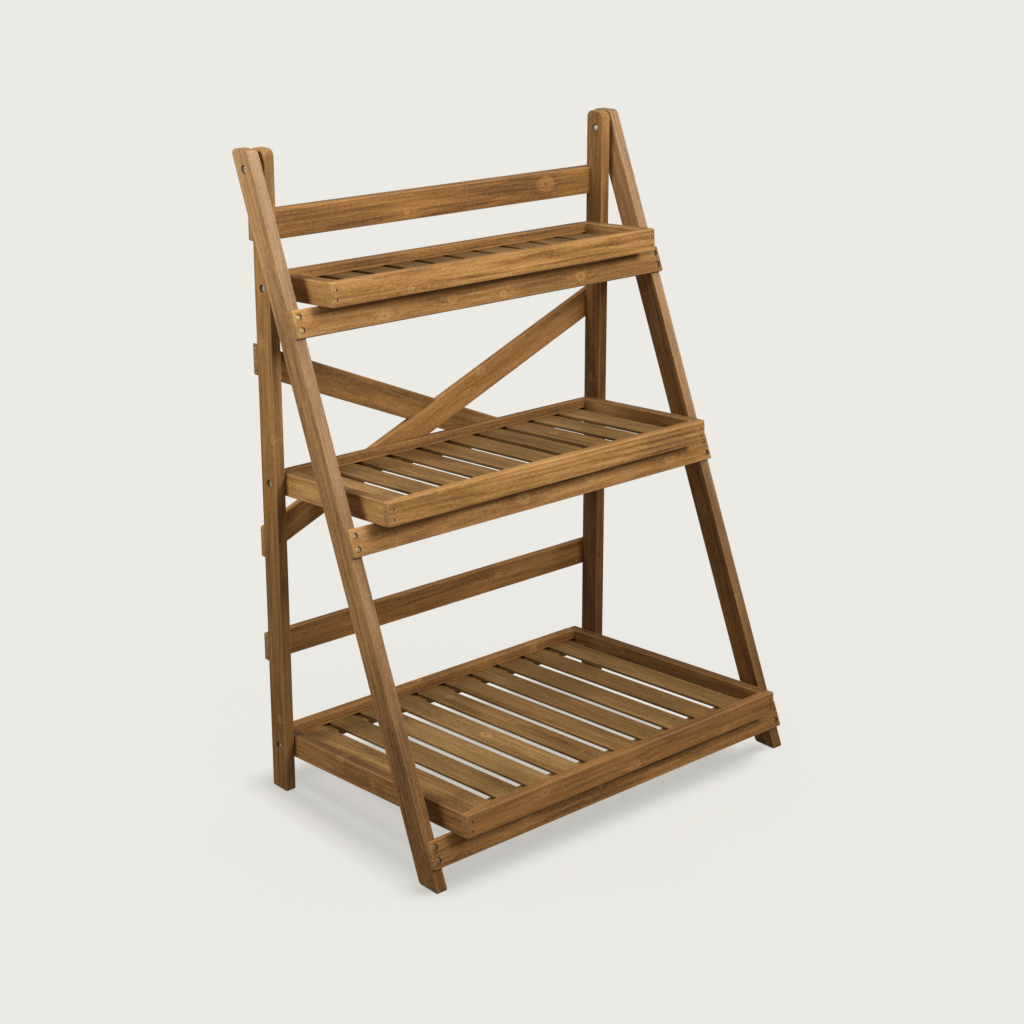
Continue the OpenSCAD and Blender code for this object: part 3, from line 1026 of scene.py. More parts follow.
@dataclass(frozen=True)
class Hardware:
    """The bolts, nuts, washers and rail screws, and the holes that they sit in.

    Attributes:
        lean: Lean of the front frame, in degrees.
        shank: Radius of a pivot bolt.
        play: Clearance of a bolt in a bore that turns on it.
        head_radius: Radius of a bolt head.
        head_height: Height of a bolt head.
        head_round: Rounding of its rim.
        socket: Half the width of the hexagon socket.
        socket_depth: Depth of that socket.
        tip_chamfer: Chamfer on the end of a bolt.
        sunk: Greatest depth of a head below the face that it is let into.
        recess_radius: Radius of the recesses for bolt heads and nuts.
        screw_recess_radius: Radius of the recess over a screw head.
        screw_recess_depth: Depth of that recess.
        loose: Clearance of a bolt in a nut or washer.
        ring_arris: Rounding of the nuts and washers.
        post_middle: X between the nuts, inside it, and the spacer washers, outside it.
        root: How far the shank of a bolt reaches into its head.
        bolt_turn: Turn of each bolt's socket past the one before, in degrees.
        front_turn: The same for the crosses of the front screws.
        rear_turn: The same for the crosses of the rear screws.
    """

    lean: float = 22.2
    shank: float = 0.0025
    play: float = 0.00008
    head_radius: float = 0.00425
    head_height: float = 0.005
    head_round: float = 0.0009
    socket: float = 0.002
    socket_depth: float = 0.0025
    tip_chamfer: float = 0.0005
    sunk: float = 0.004
    recess_radius: float = 0.006
    screw_recess_radius: float = 0.0045
    screw_recess_depth: float = 0.003
    loose: float = 0.0001
    ring_arris: float = 0.0004
    post_middle: float = 0.31
    root: float = 0.0005
    bolt_turn: float = 23.0
    front_turn: float = 37.0
    rear_turn: float = 29.0

    def bolts(self) -> list[Box]:
        """Gives the box of each pivot bolt."""
        return SQUARE.solids("pivot_bolts")

    def rings(self, outside: bool) -> list[Box]:
        """Gives the boxes of the two spacer washers, outside the posts, or of the two nuts."""
        boxes = SQUARE.solids("leg_nuts_and_washers")
        return [box for box in boxes if (abs(box.face(box.side)) > self.post_middle) == outside]

    def bolt_cutters(self, board: Box) -> list[Shape]:
        """Gives the cutters for the bores and recesses of the bolts that enter a board.

        Args:
            board: Room of the board, in the stand.

        Returns:
            The cutters, in place in the stand.
        """
        cutters = []
        for bolt in self.bolts():
            side, centre = bolt.side, bolt.centre
            overlaps = bolt.low.x < board.high.x and bolt.high.x > board.low.x
            if not (overlaps and board.holds(centre, "yz")):
                continue
            start = at_x(bolt.face(-side) - side * PIERCE, centre)
            stop = at_x(bolt.face(side) + side * PIERCE, centre)
            cutters.append(Shape.rod("bore", start, stop, self.shank + self.play, 32))
            outer = abs(board.face(side))
            seat = bolt.face(side) - side * self.head_height
            if abs(seat) < outer and -NEAR < outer - abs(bolt.face(side)) < self.sunk:
                mouth = at_x(side * (outer + 2 * PIERCE), centre)
                cutters.append(Shape.rod("recess", at_x(seat, centre), mouth, self.recess_radius, 40))
        for nut in self.rings(outside=False):
            if board.holds(nut.centre):
                side = nut.side
                start = at_x(board.face(-side) - side * 2 * PIERCE, nut.centre)
                stop = at_x(nut.face(side), nut.centre)
                cutters.append(Shape.rod("nut_recess", start, stop, self.recess_radius, 40))
        return cutters

    def screw_cutter(self, screw: Box, face: float, outward: int) -> Shape:
        """Gives the cutter for the recess over the head of one screw.

        Args:
            screw: Room of the screw.
            face: Y of the face that it is let into.
            outward: Sign of Y out of that face.

        Returns:
            The cutter.
        """
        centre = screw.centre
        ends = sorted((face - outward * self.screw_recess_depth, face + outward * PIERCE))
        start, stop = (Vector((centre.x, y, centre.z)) for y in ends)
        return Shape.rod("screw_recess", start, stop, self.screw_recess_radius, 32)

    def rear_screw_cutters(self, node: str) -> list[Shape]:
        """Gives the cutters for the recesses of the screws in a rear member.

        Args:
            node: The CAD node of the member.

        Returns:
            The cutters, in place in the stand.
        """
        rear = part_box(node)[1].y
        space = Space.sloping(node)
        member = space.measure(node)
        return [
            self.screw_cutter(screw, rear, 1)
            for screw in SQUARE.solids("rear_screws")
            if rear - self.sunk < screw.high.y < rear and member.holds(space.back @ screw.centre, "z")
        ]

    def front_screw_cutters(self, rail: Box) -> list[Shape]:
        """Gives the cutters for the screw recesses in a front rail.

        Args:
            rail: Room of the rail, in the space of the legs.

        Returns:
            The cutters, in that space.
        """
        screws = Space.leaning(self.lean).solids("front_rail_screws")
        here = [screw for screw in screws if rail.holds(screw.centre, "z")]
        return [self.screw_cutter(screw, rail.low.y, -1) for screw in here]

    def cap_bolt(self, length: float) -> Shape:
        """Models a cap bolt along X with the seat of its head at the origin.

        Args:
            length: Length of the bolt under its head.

        Returns:
            The bolt, whose head faces +X.
        """
        top = Vector((self.head_height, 0, 0))
        head = Shape.rod("bolt_head", Vector((0, 0, 0)), top, self.head_radius, 48)
        head.bevel_edges(
            lambda mid, way: mid.x > top.x - NEAR and abs(way.x) < ACROSS, self.head_round, 4
        )
        start = top - Vector((self.socket_depth, 0, 0))
        stop = top + Vector((PIERCE, 0, 0))
        head.cut(Shape.rod("socket", start, stop, self.socket / math.cos(math.radians(30)), 6))
        start, stop = Vector((-length, 0, 0)), Vector((self.root, 0, 0))
        shank = Shape.rod("bolt_shank", start, stop, self.shank, 32)
        shank.bevel_edges(
            lambda mid, way: mid.x < -length + NEAR and abs(way.x) < ACROSS, self.tip_chamfer, 1
        )
        return head.join(shank).smooth()

    def build(self) -> None:
        """Builds the pivot bolts, nuts, washers and rail screws."""
        models: dict[float, Shape] = {}
        for number, bolt in enumerate(self.bolts()):
            side = bolt.side
            length = bolt.size.x - self.head_height
            key = round(length, 4)
            if key not in models:
                models[key] = self.cap_bolt(length)
            seat = at_x(bolt.face(side) - side * self.head_height, bolt.centre)
            turn = Matrix.Translation(seat)
            if side < 0:
                turn = turn @ Matrix.Rotation(math.pi, 4, "Z")
            turn = turn @ Matrix.Rotation(math.radians(self.bolt_turn * number), 4, "X")
            twin = models[key].copy(f"pivot_bolt_{number + 1}", turn)
            twin.hand_over(Body.REAR_FRAME, Slot.ZINC, "pivot_bolts")
        for model in models.values():
            model.discard()
        for number, box in enumerate(self.rings(outside=False), 1):
            corner = max(box.size.y, box.size.z) / 2
            self.ring(f"leg_nut_{number}", box, corner, 6, self.loose)
        for number, box in enumerate(self.rings(outside=True), 1):
            self.ring(f"spacer_washer_{number}", box, box.size.y / 2, 48, 2 * self.loose)
        self.rail_screws()

    def ring(self, name: str, box: Box, radius: float, sides: int, loose: float) -> None:
        """Models a nut or washer with its bore.

        Args:
            name: Name of the piece.
            box: The room that it takes up.
            radius: Its radius at the corners.
            sides: Number of its sides, 6 for a nut.
            loose: Clearance of the bolt in it.
        """
        start, stop = at_x(box.low.x, box.centre), at_x(box.high.x, box.centre)
        past = Vector((PIERCE, 0, 0))
        shape = Shape.rod(name, start, stop, radius, sides)
        shape.ease(self.ring_arris, 2)
        shape.cut(Shape.rod("bore", start - past, stop + past, self.shank + loose, 32))
        shape.smooth(30).hand_over(Body.REAR_FRAME, Slot.ZINC, "leg_nuts_and_washers")

    def rail_screws(self) -> None:
        """Copies the wood screw into each front rail and rear member."""
        model = RAIL_SCREW.model()
        rows = (
            ("front_rail_screws", Body.FRONT_FRAME, Space.leaning(self.lean), -1, self.front_turn),
            ("rear_screws", Body.REAR_FRAME, SQUARE, 1, self.rear_turn),
        )
        for node, body, space, outward, step in rows:
            for number, box in enumerate(space.solids(node)):
                face = box.high.y if outward > 0 else box.low.y
                seat = Vector((box.centre.x, face - outward * RAIL_SCREW.height, box.centre.z))
                turn = space.turn @ Matrix.Translation(seat)
                if outward > 0:
                    turn = turn @ Matrix.Rotation(math.pi, 4, "Z")
                turn = turn @ Matrix.Rotation(math.radians(step * number), 4, "Y")
                screw = model.copy(f"{node[:-1]}_{number + 1}", turn)
                screw.hand_over(body, Slot.BRASS, node)
        model.discard()


@dataclass(frozen=True)
class RearFrame:
    """The braced rear frame: two posts, top rail, low rail and the halved braces.

    Attributes:
        post_round: Radius of the two top corners of a post.
        foot_round: How far the corners of its foot are worn round.
        arris: Radius of the eased arrises.
    """

    post_round: float = 0.011
    foot_round: float = 0.003
    arris: float = 0.0018

    def build(self, hardware: Hardware) -> None:
        """Builds and dresses every piece of the rear frame.

        Args:
            hardware: The fasteners, which say where their recesses go.
        """
        # The posts' painted shade: darker towards the foot and on the narrow sides; painted sheen at the
        # top of the left post
        posts = {
            "rear_post_left": Tone(0.02, 0.4, fall=-0.15, pale=0.1, dark_edges=0.5),
            "rear_post_right": Tone(0.0, 0.45, fall=-0.45, dark_edges=0.2),
        }
        for node, tone in posts.items():
            self.post(node, tone, hardware)
        members = {
            "rear_top_rail": Tone(-0.26, 0.48, ((207, 3, 7), (-60, -9, 2)), fall=0.14),
            "rear_low_rail": Tone(-0.08, 0.5, ((120, 4, 3),)),
            "rear_brace_a": Tone(-0.2, 0.3),
            "rear_brace_b": Tone(0.04, 0.6),
        }
        for node, tone in members.items():
            self.member(node, tone, hardware)

    def post(self, node: str, tone: Tone, hardware: Hardware) -> None:
        """Models one post with its rounded top, its notches and its recesses.

        Args:
            node: Its CAD node.
            tone: How it took the stain, and its painted shade and sheen.
            hardware: The fasteners.
        """
        box = SQUARE.measure(node)
        shape = Shape.block(node.replace("rear_", "") + "_board", box)
        shape.bevel_edges(
            lambda mid, way: mid.z > box.high.z - NEAR and abs(way.x) > PARALLEL, self.post_round, 10
        )
        shape.bevel_edges(
            lambda mid, way: mid.z < box.low.z + NEAR and abs(way.x) > PARALLEL, self.foot_round, 4
        )
        shape.ease(self.arris)
        rail = SQUARE.measure("rear_top_rail").grown((OVERCUT, 0, 0), (OVERCUT, 2 * OVERCUT, 0))
        shape.cut(Shape.block("notch", rail))
        slope = Space.sloping("rear_brace_b")
        far = 2 * OVERCUT
        brace = slope.measure("rear_brace_b").grown((far, 0, 0), (far, far, 0))
        shape.cut(Shape.block("let", brace).place(slope.turn))
        shape.cut(*hardware.bolt_cutters(box))
        shape.grain(box, tone, -box.side).smooth()
        shape.hand_over(Body.REAR_FRAME, Slot.FIR, node)

    def member(self, node: str, tone: Tone, hardware: Hardware) -> None:
        """Models one rail or brace between the outer faces of the posts.

        Args:
            node: Its CAD node.
            tone: How it took the stain.
            hardware: The fasteners.
        """
        space = Space.sloping(node)
        box = space.measure(node)
        left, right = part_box(node)
        shape = Shape.block(node.replace("rear_", "") + "_member", box)
        for corner, side in ((left, -1), (right, 1)):
            outward = space.back.to_3x3() @ Vector((side, 0, 0))
            if abs(outward.z) > NEAR:
                shape.slice_off(space.back @ Vector((corner.x, 0, 0)), outward)
        shape.ease(self.arris)
        mate = {"rear_brace_a": "rear_brace_b", "rear_brace_b": "rear_brace_a"}.get(node)
        if mate:
            shape.place(space.turn).cut(self.halving(node, mate)).place(space.back)
        shape.cut(*[cutter.place(space.back) for cutter in hardware.rear_screw_cutters(node)])
        shape.grain(box, tone).place(space.turn).smooth()
        shape.hand_over(Body.REAR_FRAME, Slot.FIR, node)

    def halving(self, node: str, mate: str) -> Shape:
        """Gives the cutter for the half of a brace that its mate crosses.

        Args:
            node: The brace that is cut.
            mate: The brace that crosses it.

        Returns:
            The cutter, in place in the stand.
        """
        space = Space.sloping(mate)
        box = space.measure(mate)
        meeting = (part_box("rear_brace_a")[0].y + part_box("rear_brace_b")[1].y) / 2
        if node == "rear_brace_a":
            box.low.y -= OVERCUT
            box.high.y = meeting
        else:
            box.low.y = meeting
            box.high.y += OVERCUT
        return Shape.block("halving", box).place(space.turn)


@dataclass(frozen=True)
class FrontFrame:
    """The front frame: two leaning legs and three rails.

    Attributes:
        lean: Lean of the legs, in degrees.
        leg_round: Radius of the two top corners of a leg.
        foot_round: How far the corners of a foot are worn round.
        arris: Radius of the eased arrises.
        spare: Length of the blank past each end of a leg, before its ends are cut level.
    """

    lean: float = 22.2
    leg_round: float = 0.008
    foot_round: float = 0.004
    arris: float = 0.0018
    spare: float = 0.03

    def build(self, hardware: Hardware) -> None:
        """Builds and dresses every piece of the front frame.

        Args:
            hardware: The fasteners, which say where their recesses go.
        """
        space = Space.leaning(self.lean)
        common = partial(Tone, warmth=0.48, knots=())
        # The legs' painted shade: darker towards the foot, on the narrow sides and on the inward faces;
        # painted sheen at the top
        legs = {
            "front_leg_left": common(0.02, fall=-0.22, pale=0.75, dark_edges=0.55, inner=0.15),
            "front_leg_right": common(-0.06, fall=-0.12, pale=0.6, dark_edges=0.3, inner=0.15),
        }
        for node, tone in legs.items():
            self.leg(node, tone, space, hardware)
        top_knots = ((-195, -10, 3.5), (-74, -4, 3.5), (19, -9, 2.5), (170, -5, 4))
        middle_knots = ((-40, -2, 5), (91, 3, 4.5), (252, -3, 4))
        rails = {
            "front_rail_top": Tone(-0.14, 0.45, top_knots, fall=0.2),
            "front_rail_middle": Tone(0.0, 0.5, middle_knots, fall=0.12),
            "front_rail_bottom": Tone(-0.14, 0.5, ((-173, 3, 4.5), (-36, 5, 4)), fall=0.08),
        }
        for node, tone in rails.items():
            box = space.measure(node)
            shape = Shape.block(node.replace("front_", "") + "_board", box)
            shape.ease(self.arris)
            shape.cut(*hardware.front_screw_cutters(box))
            shape.grain(box, tone).place(space.turn).smooth()
            shape.hand_over(Body.FRONT_FRAME, Slot.FIR, node)

    def leg(self, node: str, tone: Tone, space: Space, hardware: Hardware) -> None:
        """Models one leg with its level ends, rounded top and worn foot.

        Args:
            node: Its CAD node.
            tone: How it took the stain, and its painted shade and sheen.
            space: The space of the legs.
            hardware: The fasteners.
        """
        box = space.measure(node)
        upright = Box(*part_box(node))
        spare = (0, 0, self.spare)
        shape = Shape.block(node.replace("front_", "") + "_board", box.grown(spare, spare))
        outward = space.back.to_3x3() @ Vector((0, 0, 1))
        shape.slice_off(space.back @ Vector((0, 0, upright.high.z)), outward)
        shape.slice_off(space.back @ Vector((0, 0, upright.low.z)), -outward)
        shape.bevel_edges(
            lambda mid, way: (space.turn @ mid).z < NEAR and abs(way.x) > PARALLEL, self.foot_round, 4
        )
        middle = box.centre
        for rear in (False, True):
            opening = math.radians(90 + (-self.lean if rear else self.lean))
            shape.bevel_edges(
                lambda mid, way: mid.z > middle.z
                and abs(way.x) > PARALLEL
                and (mid.y > middle.y) == rear,
                self.leg_round / math.tan(opening / 2),
                10,
            )
        shape.ease(self.arris)
        shape.cut(*[cutter.place(space.back) for cutter in hardware.bolt_cutters(upright)])
        shape.grain(box, tone, -box.side).place(space.turn).smooth()
        shape.hand_over(Body.FRONT_FRAME, Slot.FIR, node)


@dataclass(frozen=True)
class Tray:
    """A slatted tray.

    Attributes:
        level: Start of the names of its CAD nodes.
        body: The body that it rides on.
        tilt: Its slope to the rear, in degrees.
        slats: Number of its slats.
        rear_chamfer: Chamfer on its rear upper edge.
        lap: Thickness of the front board over the ends of the side boards.
        skirt: Thickness of the rear board's skirt between the slats.
        side_tone: Stain of the side boards, whose inward faces and tops also get painted shade.
        rear_tone: Stain of the rear board.
        front_tone: Stain of the front board.
        slat_tone: Stain of the slats, apart from what varies from slat to slat.
        batten_tone: Stain of the battens.
        slat_knots: Knots of the slats that have any, by number.
        arris: Radius of the eased arrises of the side and rear boards.
        front_arris: The same for the front board.
        slat_arris: The same for the slats.
        batten_arris: The same for the battens.
        hole_radius: Radius of the holes of the corner screws in the front board.
        hole_depth: Depth of these holes.
        hole_inset: Their distance from the ends of the board.
        hole_heights: Their heights, as shares of the board's.
        screw_seat: Depth of the seats of the screw heads in them.
    """

    level: str
    body: Body
    tilt: float = 3.3
    slats: int = 10
    rear_chamfer: float = 0.0
    lap: float = 0.010
    skirt: float = 0.005
    side_tone: Tone = Tone()
    rear_tone: Tone = Tone()
    front_tone: Tone = Tone()
    slat_tone: Tone = Tone()
    batten_tone: Tone = Tone(-0.12, 0.4)
    slat_knots: tuple[tuple[int, tuple[tuple[float, float, float], ...]], ...] = ()
    arris: float = 0.0018
    front_arris: float = 0.0024
    slat_arris: float = 0.0014
    batten_arris: float = 0.0012
    hole_radius: float = 0.0021
    hole_depth: float = 0.003
    hole_inset: float = 0.0085
    hole_heights: tuple[float, float] = (0.28, 0.68)
    screw_seat: float = 0.0028

    def build(self, hardware: Hardware) -> None:
        """Builds and dresses every piece of the tray.

        Args:
            hardware: The fasteners, which say where their bores go.
        """
        space = Space.leaning(self.tilt)
        for side in ("left", "right"):
            node = self.node(f"side_{side}")
            box = space.measure(node)
            shape = self.chamfered(node, box).ease(self.arris)
            bores = hardware.bolt_cutters(Box(*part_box(node)))
            shape.cut(*[cutter.place(space.back) for cutter in bores])
            self.dress(shape, space, box, self.side_tone, node, inward=-box.side)
        self.rear_board(space)
        self.front_board(space)
        rng = random.Random(self.level)
        for number in range(1, self.slats + 1):
            node = self.node(f"slat_{number}")
            box = space.measure(node)
            shape = Shape.block(node + "_fir", box).ease(self.slat_arris)
            # Painted shade on the slats' sides, darkening the gaps between them
            tone = Tone(
                self.slat_tone.depth + rng.uniform(-0.1, 0.1),
                self.slat_tone.warmth + rng.uniform(-0.14, 0.14),
                dict(self.slat_knots).get(number, ()),
                dark_edges=0.8,
            )
            self.dress(shape, space, box, tone, node, slot=Slot.SLATS)
        self.battens(space)
        self.corner_screws(space)

    def node(self, part: str) -> str:
        """Gives the name of the CAD node of one of the tray's parts."""
        return f"{self.level}_tray_{part}"

    def chamfered(self, node: str, box: Box) -> Shape:
        """Adds the block of a side or rear board, whose rear upper edge may be chamfered.

        Args:
            node: Its CAD node.
            box: The room that it takes up.

        Returns:
            The block.
        """
        shape = Shape.block(node + "_fir", box)
        if self.rear_chamfer:
            high = box.high
            shape.bevel_edges(
                lambda mid, way: abs(way.x) > PARALLEL and mid.y > high.y - NEAR and mid.z > high.z - NEAR,
                self.rear_chamfer,
                1,
            )
        return shape

    def dress(
        self,
        shape: Shape,
        space: Space,
        box: Box,
        tone: Tone,
        node: str,
        slot: Slot = Slot.FIR,
        inward: int = 0,
    ) -> None:
        """Writes the grain of a board, turns it into place and hands it over.

        Args:
            shape: The board.
            space: The space of the tray.
            box: Room of the board in that space.
            tone: How it took the stain, and its painted shade and sheen.
            node: The CAD node that it stands for.
            slot: The record's slot of its finish.
            inward: Sign of X towards the inside of the stand, on a side board.
        """
        shape.grain(box, tone, inward).place(space.turn).smooth()
        shape.hand_over(self.body, slot, node)

    def rear_board(self, space: Space) -> None:
        """Models the low rear board, housed over the slats, with a thin skirt between them.

        Args:
            space: The space of the tray.
        """
        node = self.node("rear_board")
        box = space.measure(node)
        slats = [space.measure(self.node(f"slat_{number}")) for number in range(1, self.slats + 1)]
        shape = self.chamfered(node, box.grown((0, 0, slats[0].size.z), (0, 0, 0)))
        for slat in slats:
            low = Vector((slat.low.x, box.low.y - OVERCUT, slat.low.z - OVERCUT))
            high = Vector((slat.high.x, box.high.y + OVERCUT, slat.high.z))
            shape.cut(Shape.block("housing", Box(low, high)))
        low = box.low - Vector((OVERCUT, OVERCUT, OVERCUT))
        high = Vector((box.high.x + OVERCUT, box.high.y - self.skirt, box.low.z))
        shape.cut(Shape.block("recess", Box(low, high)))
        self.dress(shape.ease(self.arris), space, box, self.rear_tone, node)

    def front_board(self, space: Space) -> None:
        """Models the front board, rebated over the side boards, with the corner screws' holes.

        Args:
            space: The space of the tray.
        """
        node = self.node("front_board")
        box = space.measure(node)
        shape = Shape.block(node + "_fir", box).ease(self.front_arris)
        width = space.measure(self.node("side_left")).size.x
        spans = (
            (box.low.x - OVERCUT, box.low.x + width),
            (box.high.x - width, box.high.x + OVERCUT),
        )
        for start, end in spans:
            low = Vector((start, box.low.y + self.lap, box.low.z - OVERCUT))
            high = Vector((end, box.high.y + OVERCUT, box.high.z + OVERCUT))
            shape.cut(Shape.block("rebate", Box(low, high)))
        for place in self.screw_places(box):
            mouth = place - Vector((0, PIERCE, 0))
            foot = place + Vector((0, self.hole_depth, 0))
            shape.cut(Shape.rod("corner_hole", mouth, foot, self.hole_radius, 20))
        self.dress(shape, space, box, self.front_tone, node)

    def battens(self, space: Space) -> None:
        """Models the two battens under the slats as one piece.

        Args:
            space: The space of the tray.
        """
        node = self.node("battens")
        shapes = []
        for number, box in enumerate(space.solids(node), 1):
            shape = Shape.block(f"{node}_{number}", box).ease(self.batten_arris)
            shapes.append(shape.grain(box, self.batten_tone))
        shape = shapes[0].join(*shapes[1:])
        shape.obj.name = node + "_fir"
        shape.place(space.turn).smooth().hand_over(self.body, Slot.SLATS, node)

    def screw_places(self, board: Box) -> list[Vector]:
        """Gives the places of the four corner screws on the face of the front board.

        Args:
            board: Room of the front board, in the space of the tray.

        Returns:
            The places, in that space.
        """
        low, size = board.low, board.size
        across = (low.x + self.hole_inset, board.high.x - self.hole_inset)
        return [Vector((x, low.y, low.z + size.z * h)) for x in across for h in self.hole_heights]

    def corner_screws(self, space: Space) -> None:
        """Puts the four small screws into the face of the front board.

        Args:
            space: The space of the tray.
        """
        model = CORNER_SCREW.model()
        places = self.screw_places(space.measure(self.node("front_board")))
        for number, place in enumerate(places, 1):
            turn = space.turn @ Matrix.Translation(place + Vector((0, self.screw_seat, 0)))
            screw = model.copy(self.node(f"corner_screw_{number}"), turn)
            screw.hand_over(self.body, Slot.ZINC)
        model.discard()


@dataclass(frozen=True)
class Panel:
    """A soft box near the stand, which leaves the floor alone.

    Attributes:
        name: Name of the light.
        place: Where it stands.
        target: What it faces.
        size: Length of its sides.
        power: Its power in watts.
        spread: Angle that its grid lets through, in degrees.
        colour: Its colour.
    """

    name: str
    place: tuple[float, float, float]
    target: tuple[float, float, float]
    size: float
    power: float
    spread: float
    colour: str = "#FFFFFF"

    def build(self, floor: bpy.types.Object) -> None:
        """Adds the light.

        Args:
            floor: The floor, which it doesn't light.
        """
        bpy.ops.object.select_all(action="DESELECT")
        turn = (Vector(self.place) - Vector(self.target)).to_track_quat("Z", "Y").to_euler()
        bpy.ops.object.light_add(type="AREA", location=self.place, rotation=turn)
        light = bpy.context.object
        light.name = self.name
        light.data.shape = "SQUARE"
        light.data.size = self.size
        light.data.energy = self.power
        light.data.spread = math.radians(self.spread)
        light.data.color = linear(self.colour)[:3]
        light.visible_camera = False
        spared = bpy.data.collections.new("spared_by_" + self.name)
        spared.objects.link(floor)
        spared.collection_objects[0].light_linking.link_state = "EXCLUDE"
        light.light_linking.receiver_collection = spared


PANELS = (
    Panel("front_soft_box", (0.65, -2.3, 2.15), (0.0, 0.0, 0.9), 0.9, 13.4, 75.0, "#FFFCF8"),
    Panel("overhead_soft_box", (-0.1, -0.5, 1.75), (0.0, 0.05, 0.7), 0.7, 2.7, 130.0, "#FFFDFA"),
    Panel("left_soft_box", (-1.5, 0.4, 1.55), (-0.2, 0.0, 0.6), 0.5, 8.0, 110.0),
    Panel("rear_soft_box", (0.9, 1.3, 1.5), (0.0, 0.0, 0.5), 0.9, 1.6, 130.0),
)


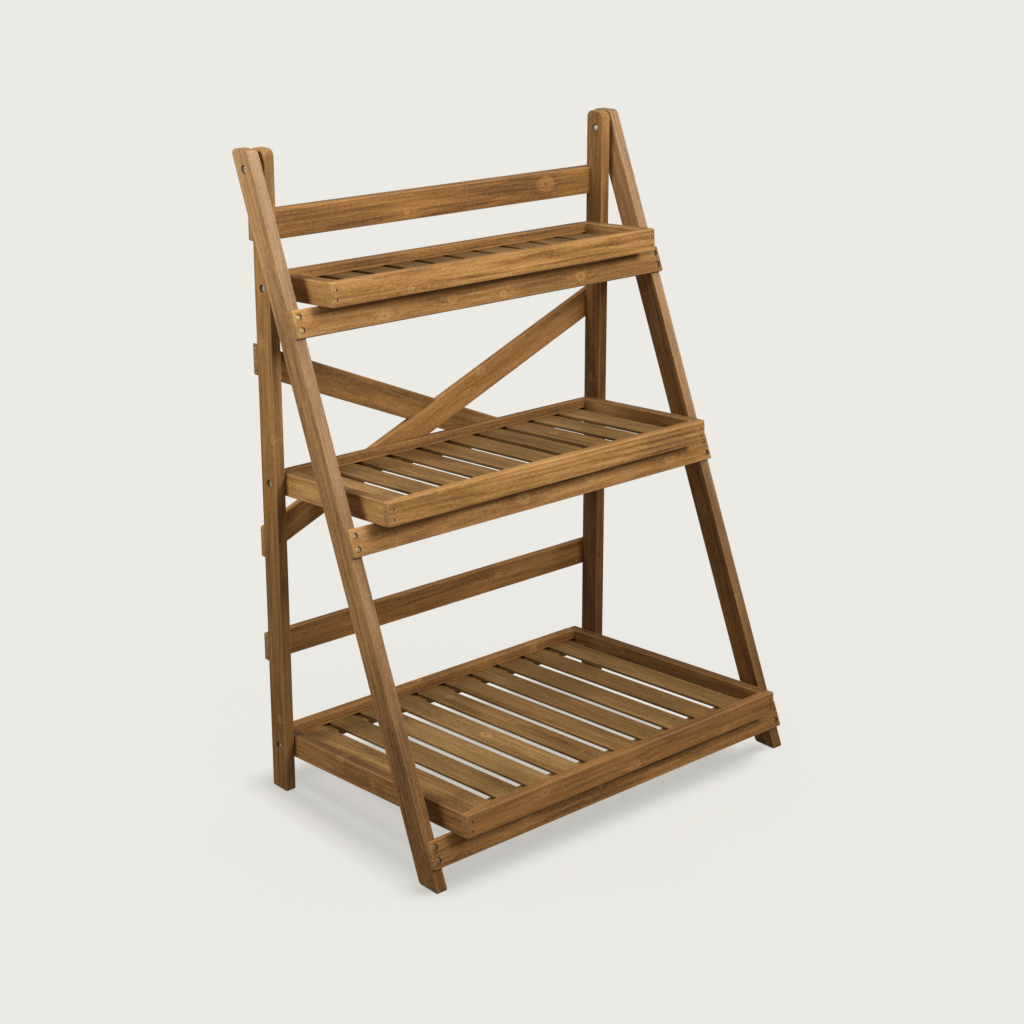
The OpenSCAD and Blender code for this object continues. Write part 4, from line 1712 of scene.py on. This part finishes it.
@dataclass(frozen=True)
class Studio:
    """The pale floor, the soft light and the camera.

    Attributes:
        eye: Place of the camera.
        yaw: Turn of its view from +Y towards +X, in degrees.
        pitch: Tilt of its view below the horizon, in degrees.
        lens: Focal length in millimetres.
        sensor: Width of its sensor in millimetres.
        shift: Vertical shift of its lens.
        backdrop: Colour of the floor's glow and of what lies behind it.
        paper: Two colours of the floor's faint mottle.
        surround: Strength of the even light.
        floor_radius: Radius of the floor, which reaches the horizon.
        floor_light: Strength of the light on the floor.
        light_slant: Turn of that light about X and Y, in degrees.
        light_width: Angle that it seems wide, which softens the shadow, in degrees.
        floor_glow: Light of the floor's own, as on a lit table.
    """

    eye: tuple[float, float, float] = (-1.7624, -1.9682, 1.2917)
    yaw: float = 41.338
    pitch: float = 16.534
    lens: float = 68.437
    sensor: float = 36.0
    shift: float = -0.07
    backdrop: str = "#EBEAE4"
    paper: tuple[str, str] = ("#A09F9C", "#A1A09D")
    surround: float = 0.35
    floor_radius: float = 1500.0
    floor_light: float = 2.45
    light_slant: tuple[float, float] = (9.0, 24.0)
    light_width: float = 34.0
    floor_glow: float = 0.58

    def build(self, shading: list[bpy.types.Object]) -> None:
        """Builds the floor, the lights, the world and the camera.

        Args:
            shading: The pieces whose shadow shows on the floor.
        """
        bpy.context.scene.view_settings.view_transform = "Standard"
        floor = self.floor()
        self.world()
        self.backdrop_light(floor, shading)
        for panel in PANELS:
            panel.build(floor)
        self.camera()

    def floor(self) -> bpy.types.Object:
        """Adds the floor.

        Returns:
            The floor.
        """
        # Matt paper: a plain pale ground that shows only a soft shadow
        material = bpy.data.materials.new("paper_backdrop_matt")
        add = empty_tree(material)
        place = add(PLACE).outputs["Object"]
        colour = add(RAMP, {0: add(NOISE, {"Vector": place, "Scale": 3.0, "Detail": 2.0})})
        set_ramp(colour, [(0.3, linear(self.paper[0])), (0.7, linear(self.paper[1]))])
        sockets = {
            "Base Color": colour,
            "Roughness": 1.0,
            "Specular IOR Level": 0.0,
            "Emission Color": linear(self.backdrop),
            "Emission Strength": self.floor_glow,
        }
        add(OUTPUT, {0: add(SHADER, sockets)})
        bpy.ops.object.select_all(action="DESELECT")
        bpy.ops.mesh.primitive_circle_add(vertices=96, radius=self.floor_radius, fill_type="NGON")
        floor = bpy.context.object
        floor.name = "studio_floor"
        floor.data.materials.append(material)
        floor.visible_diffuse = False
        floor.visible_glossy = False
        return floor

    def world(self) -> None:
        """Gives the scene a dim even light behind a backdrop as pale as the floor."""
        world = bpy.data.worlds.new("studio_surround")
        bpy.context.scene.world = world
        add = empty_tree(world)
        seen = add("ShaderNodeLightPath").outputs["Is Camera Ray"]
        strength = add(RANGE, {0: seen, 3: self.surround, 4: 1.0})
        sockets = {"Color": linear(self.backdrop), "Strength": strength}
        add("ShaderNodeOutputWorld", {0: add("ShaderNodeBackground", sockets)})

    def backdrop_light(self, floor: bpy.types.Object, shading: list[bpy.types.Object]) -> None:
        """Lights the floor alone from above, so that it stays pale behind the stand.

        Args:
            floor: The floor.
            shading: The pieces whose shadow shows on it.
        """
        bpy.ops.object.select_all(action="DESELECT")
        slant = (math.radians(self.light_slant[0]), math.radians(self.light_slant[1]), 0.0)
        bpy.ops.object.light_add(type="SUN", location=(0, 0, 3), rotation=slant)
        light = bpy.context.object
        light.name = "backdrop_light"
        light.data.energy = self.floor_light
        light.data.angle = math.radians(self.light_width)
        only = bpy.data.collections.new("lit_by_backdrop_light")
        only.objects.link(floor)
        light.light_linking.receiver_collection = only
        casting = bpy.data.collections.new("shading_the_floor")
        for piece in shading:
            casting.objects.link(piece)
        light.light_linking.blocker_collection = casting

    def camera(self) -> None:
        """Adds the camera at the photograph's viewing angle."""
        yaw, pitch = math.radians(self.yaw), math.radians(self.pitch)
        level = math.cos(pitch)
        forward = Vector((math.sin(yaw) * level, math.cos(yaw) * level, -math.sin(pitch)))
        turn = forward.to_track_quat("-Z", "Y").to_euler()
        bpy.ops.object.camera_add(location=self.eye, rotation=turn)
        camera = bpy.context.object
        camera.name = "photo_camera"
        camera.data.lens = self.lens
        camera.data.sensor_width = self.sensor
        camera.data.shift_y = self.shift
        camera.data.dof.use_dof = False
        bpy.context.scene.camera = camera


TRAYS = (
    Tray(
        "top",
        Body.TOP_TRAY,
        side_tone=Tone(0.14, 0.45, ()),
        rear_tone=Tone(-0.1, 0.5, ((-217, 9, 3),)),
        front_tone=Tone(0.1, 0.5, ((-168, -9, 2.6),), rings=3.2),
        slat_tone=Tone(-0.18, 0.36),
    ),
    Tray(
        "middle",
        Body.MIDDLE_TRAY,
        rear_chamfer=0.006,
        side_tone=Tone(0.12, 0.45, ()),
        rear_tone=Tone(-0.2, 0.4, ((22, 12, 4), (-121, 12, 3))),
        front_tone=Tone(0.1, 0.5, ((-211, 13, 1.6),), rings=2.2),
        slat_tone=Tone(-0.1, 0.4),
        slat_knots=((8, ((19, -2, 4),)),),
    ),
    Tray(
        "bottom",
        Body.BOTTOM_TRAY,
        side_tone=Tone(0.0, 0.5),
        rear_tone=Tone(-0.12, 0.5),
        front_tone=Tone(-0.06, 0.7, ((5, -8, 5), (-162, 5, 3.5), (193, -9, 2.5)), fall=-0.04),
        slat_tone=Tone(-0.04, 0.4),
        slat_knots=(
            (4, ((-11, -1, 4.5),)),
            (5, ((143, 1, 3.5), (-6, 3, 1), (8, -1, 1), (-156, -1, 2))),
        ),
    ),
)


def main() -> None:
    """Builds the stand piece by piece, then the studio."""
    logging.basicConfig(level=logging.INFO, format="%(message)s")
    cad_nodes = {node.name for node in bpy.data.objects}
    hardware = Hardware()
    RearFrame().build(hardware)
    FrontFrame().build(hardware)
    for tray in TRAYS:
        tray.build(hardware)
    hardware.build()
    own = [piece for piece in bpy.data.objects if piece.name not in cad_nodes]
    Studio().build([piece for piece in own if piece.name.startswith(("bottom_tray", "rail_bottom"))])


if __name__ == "__main__":
    main()
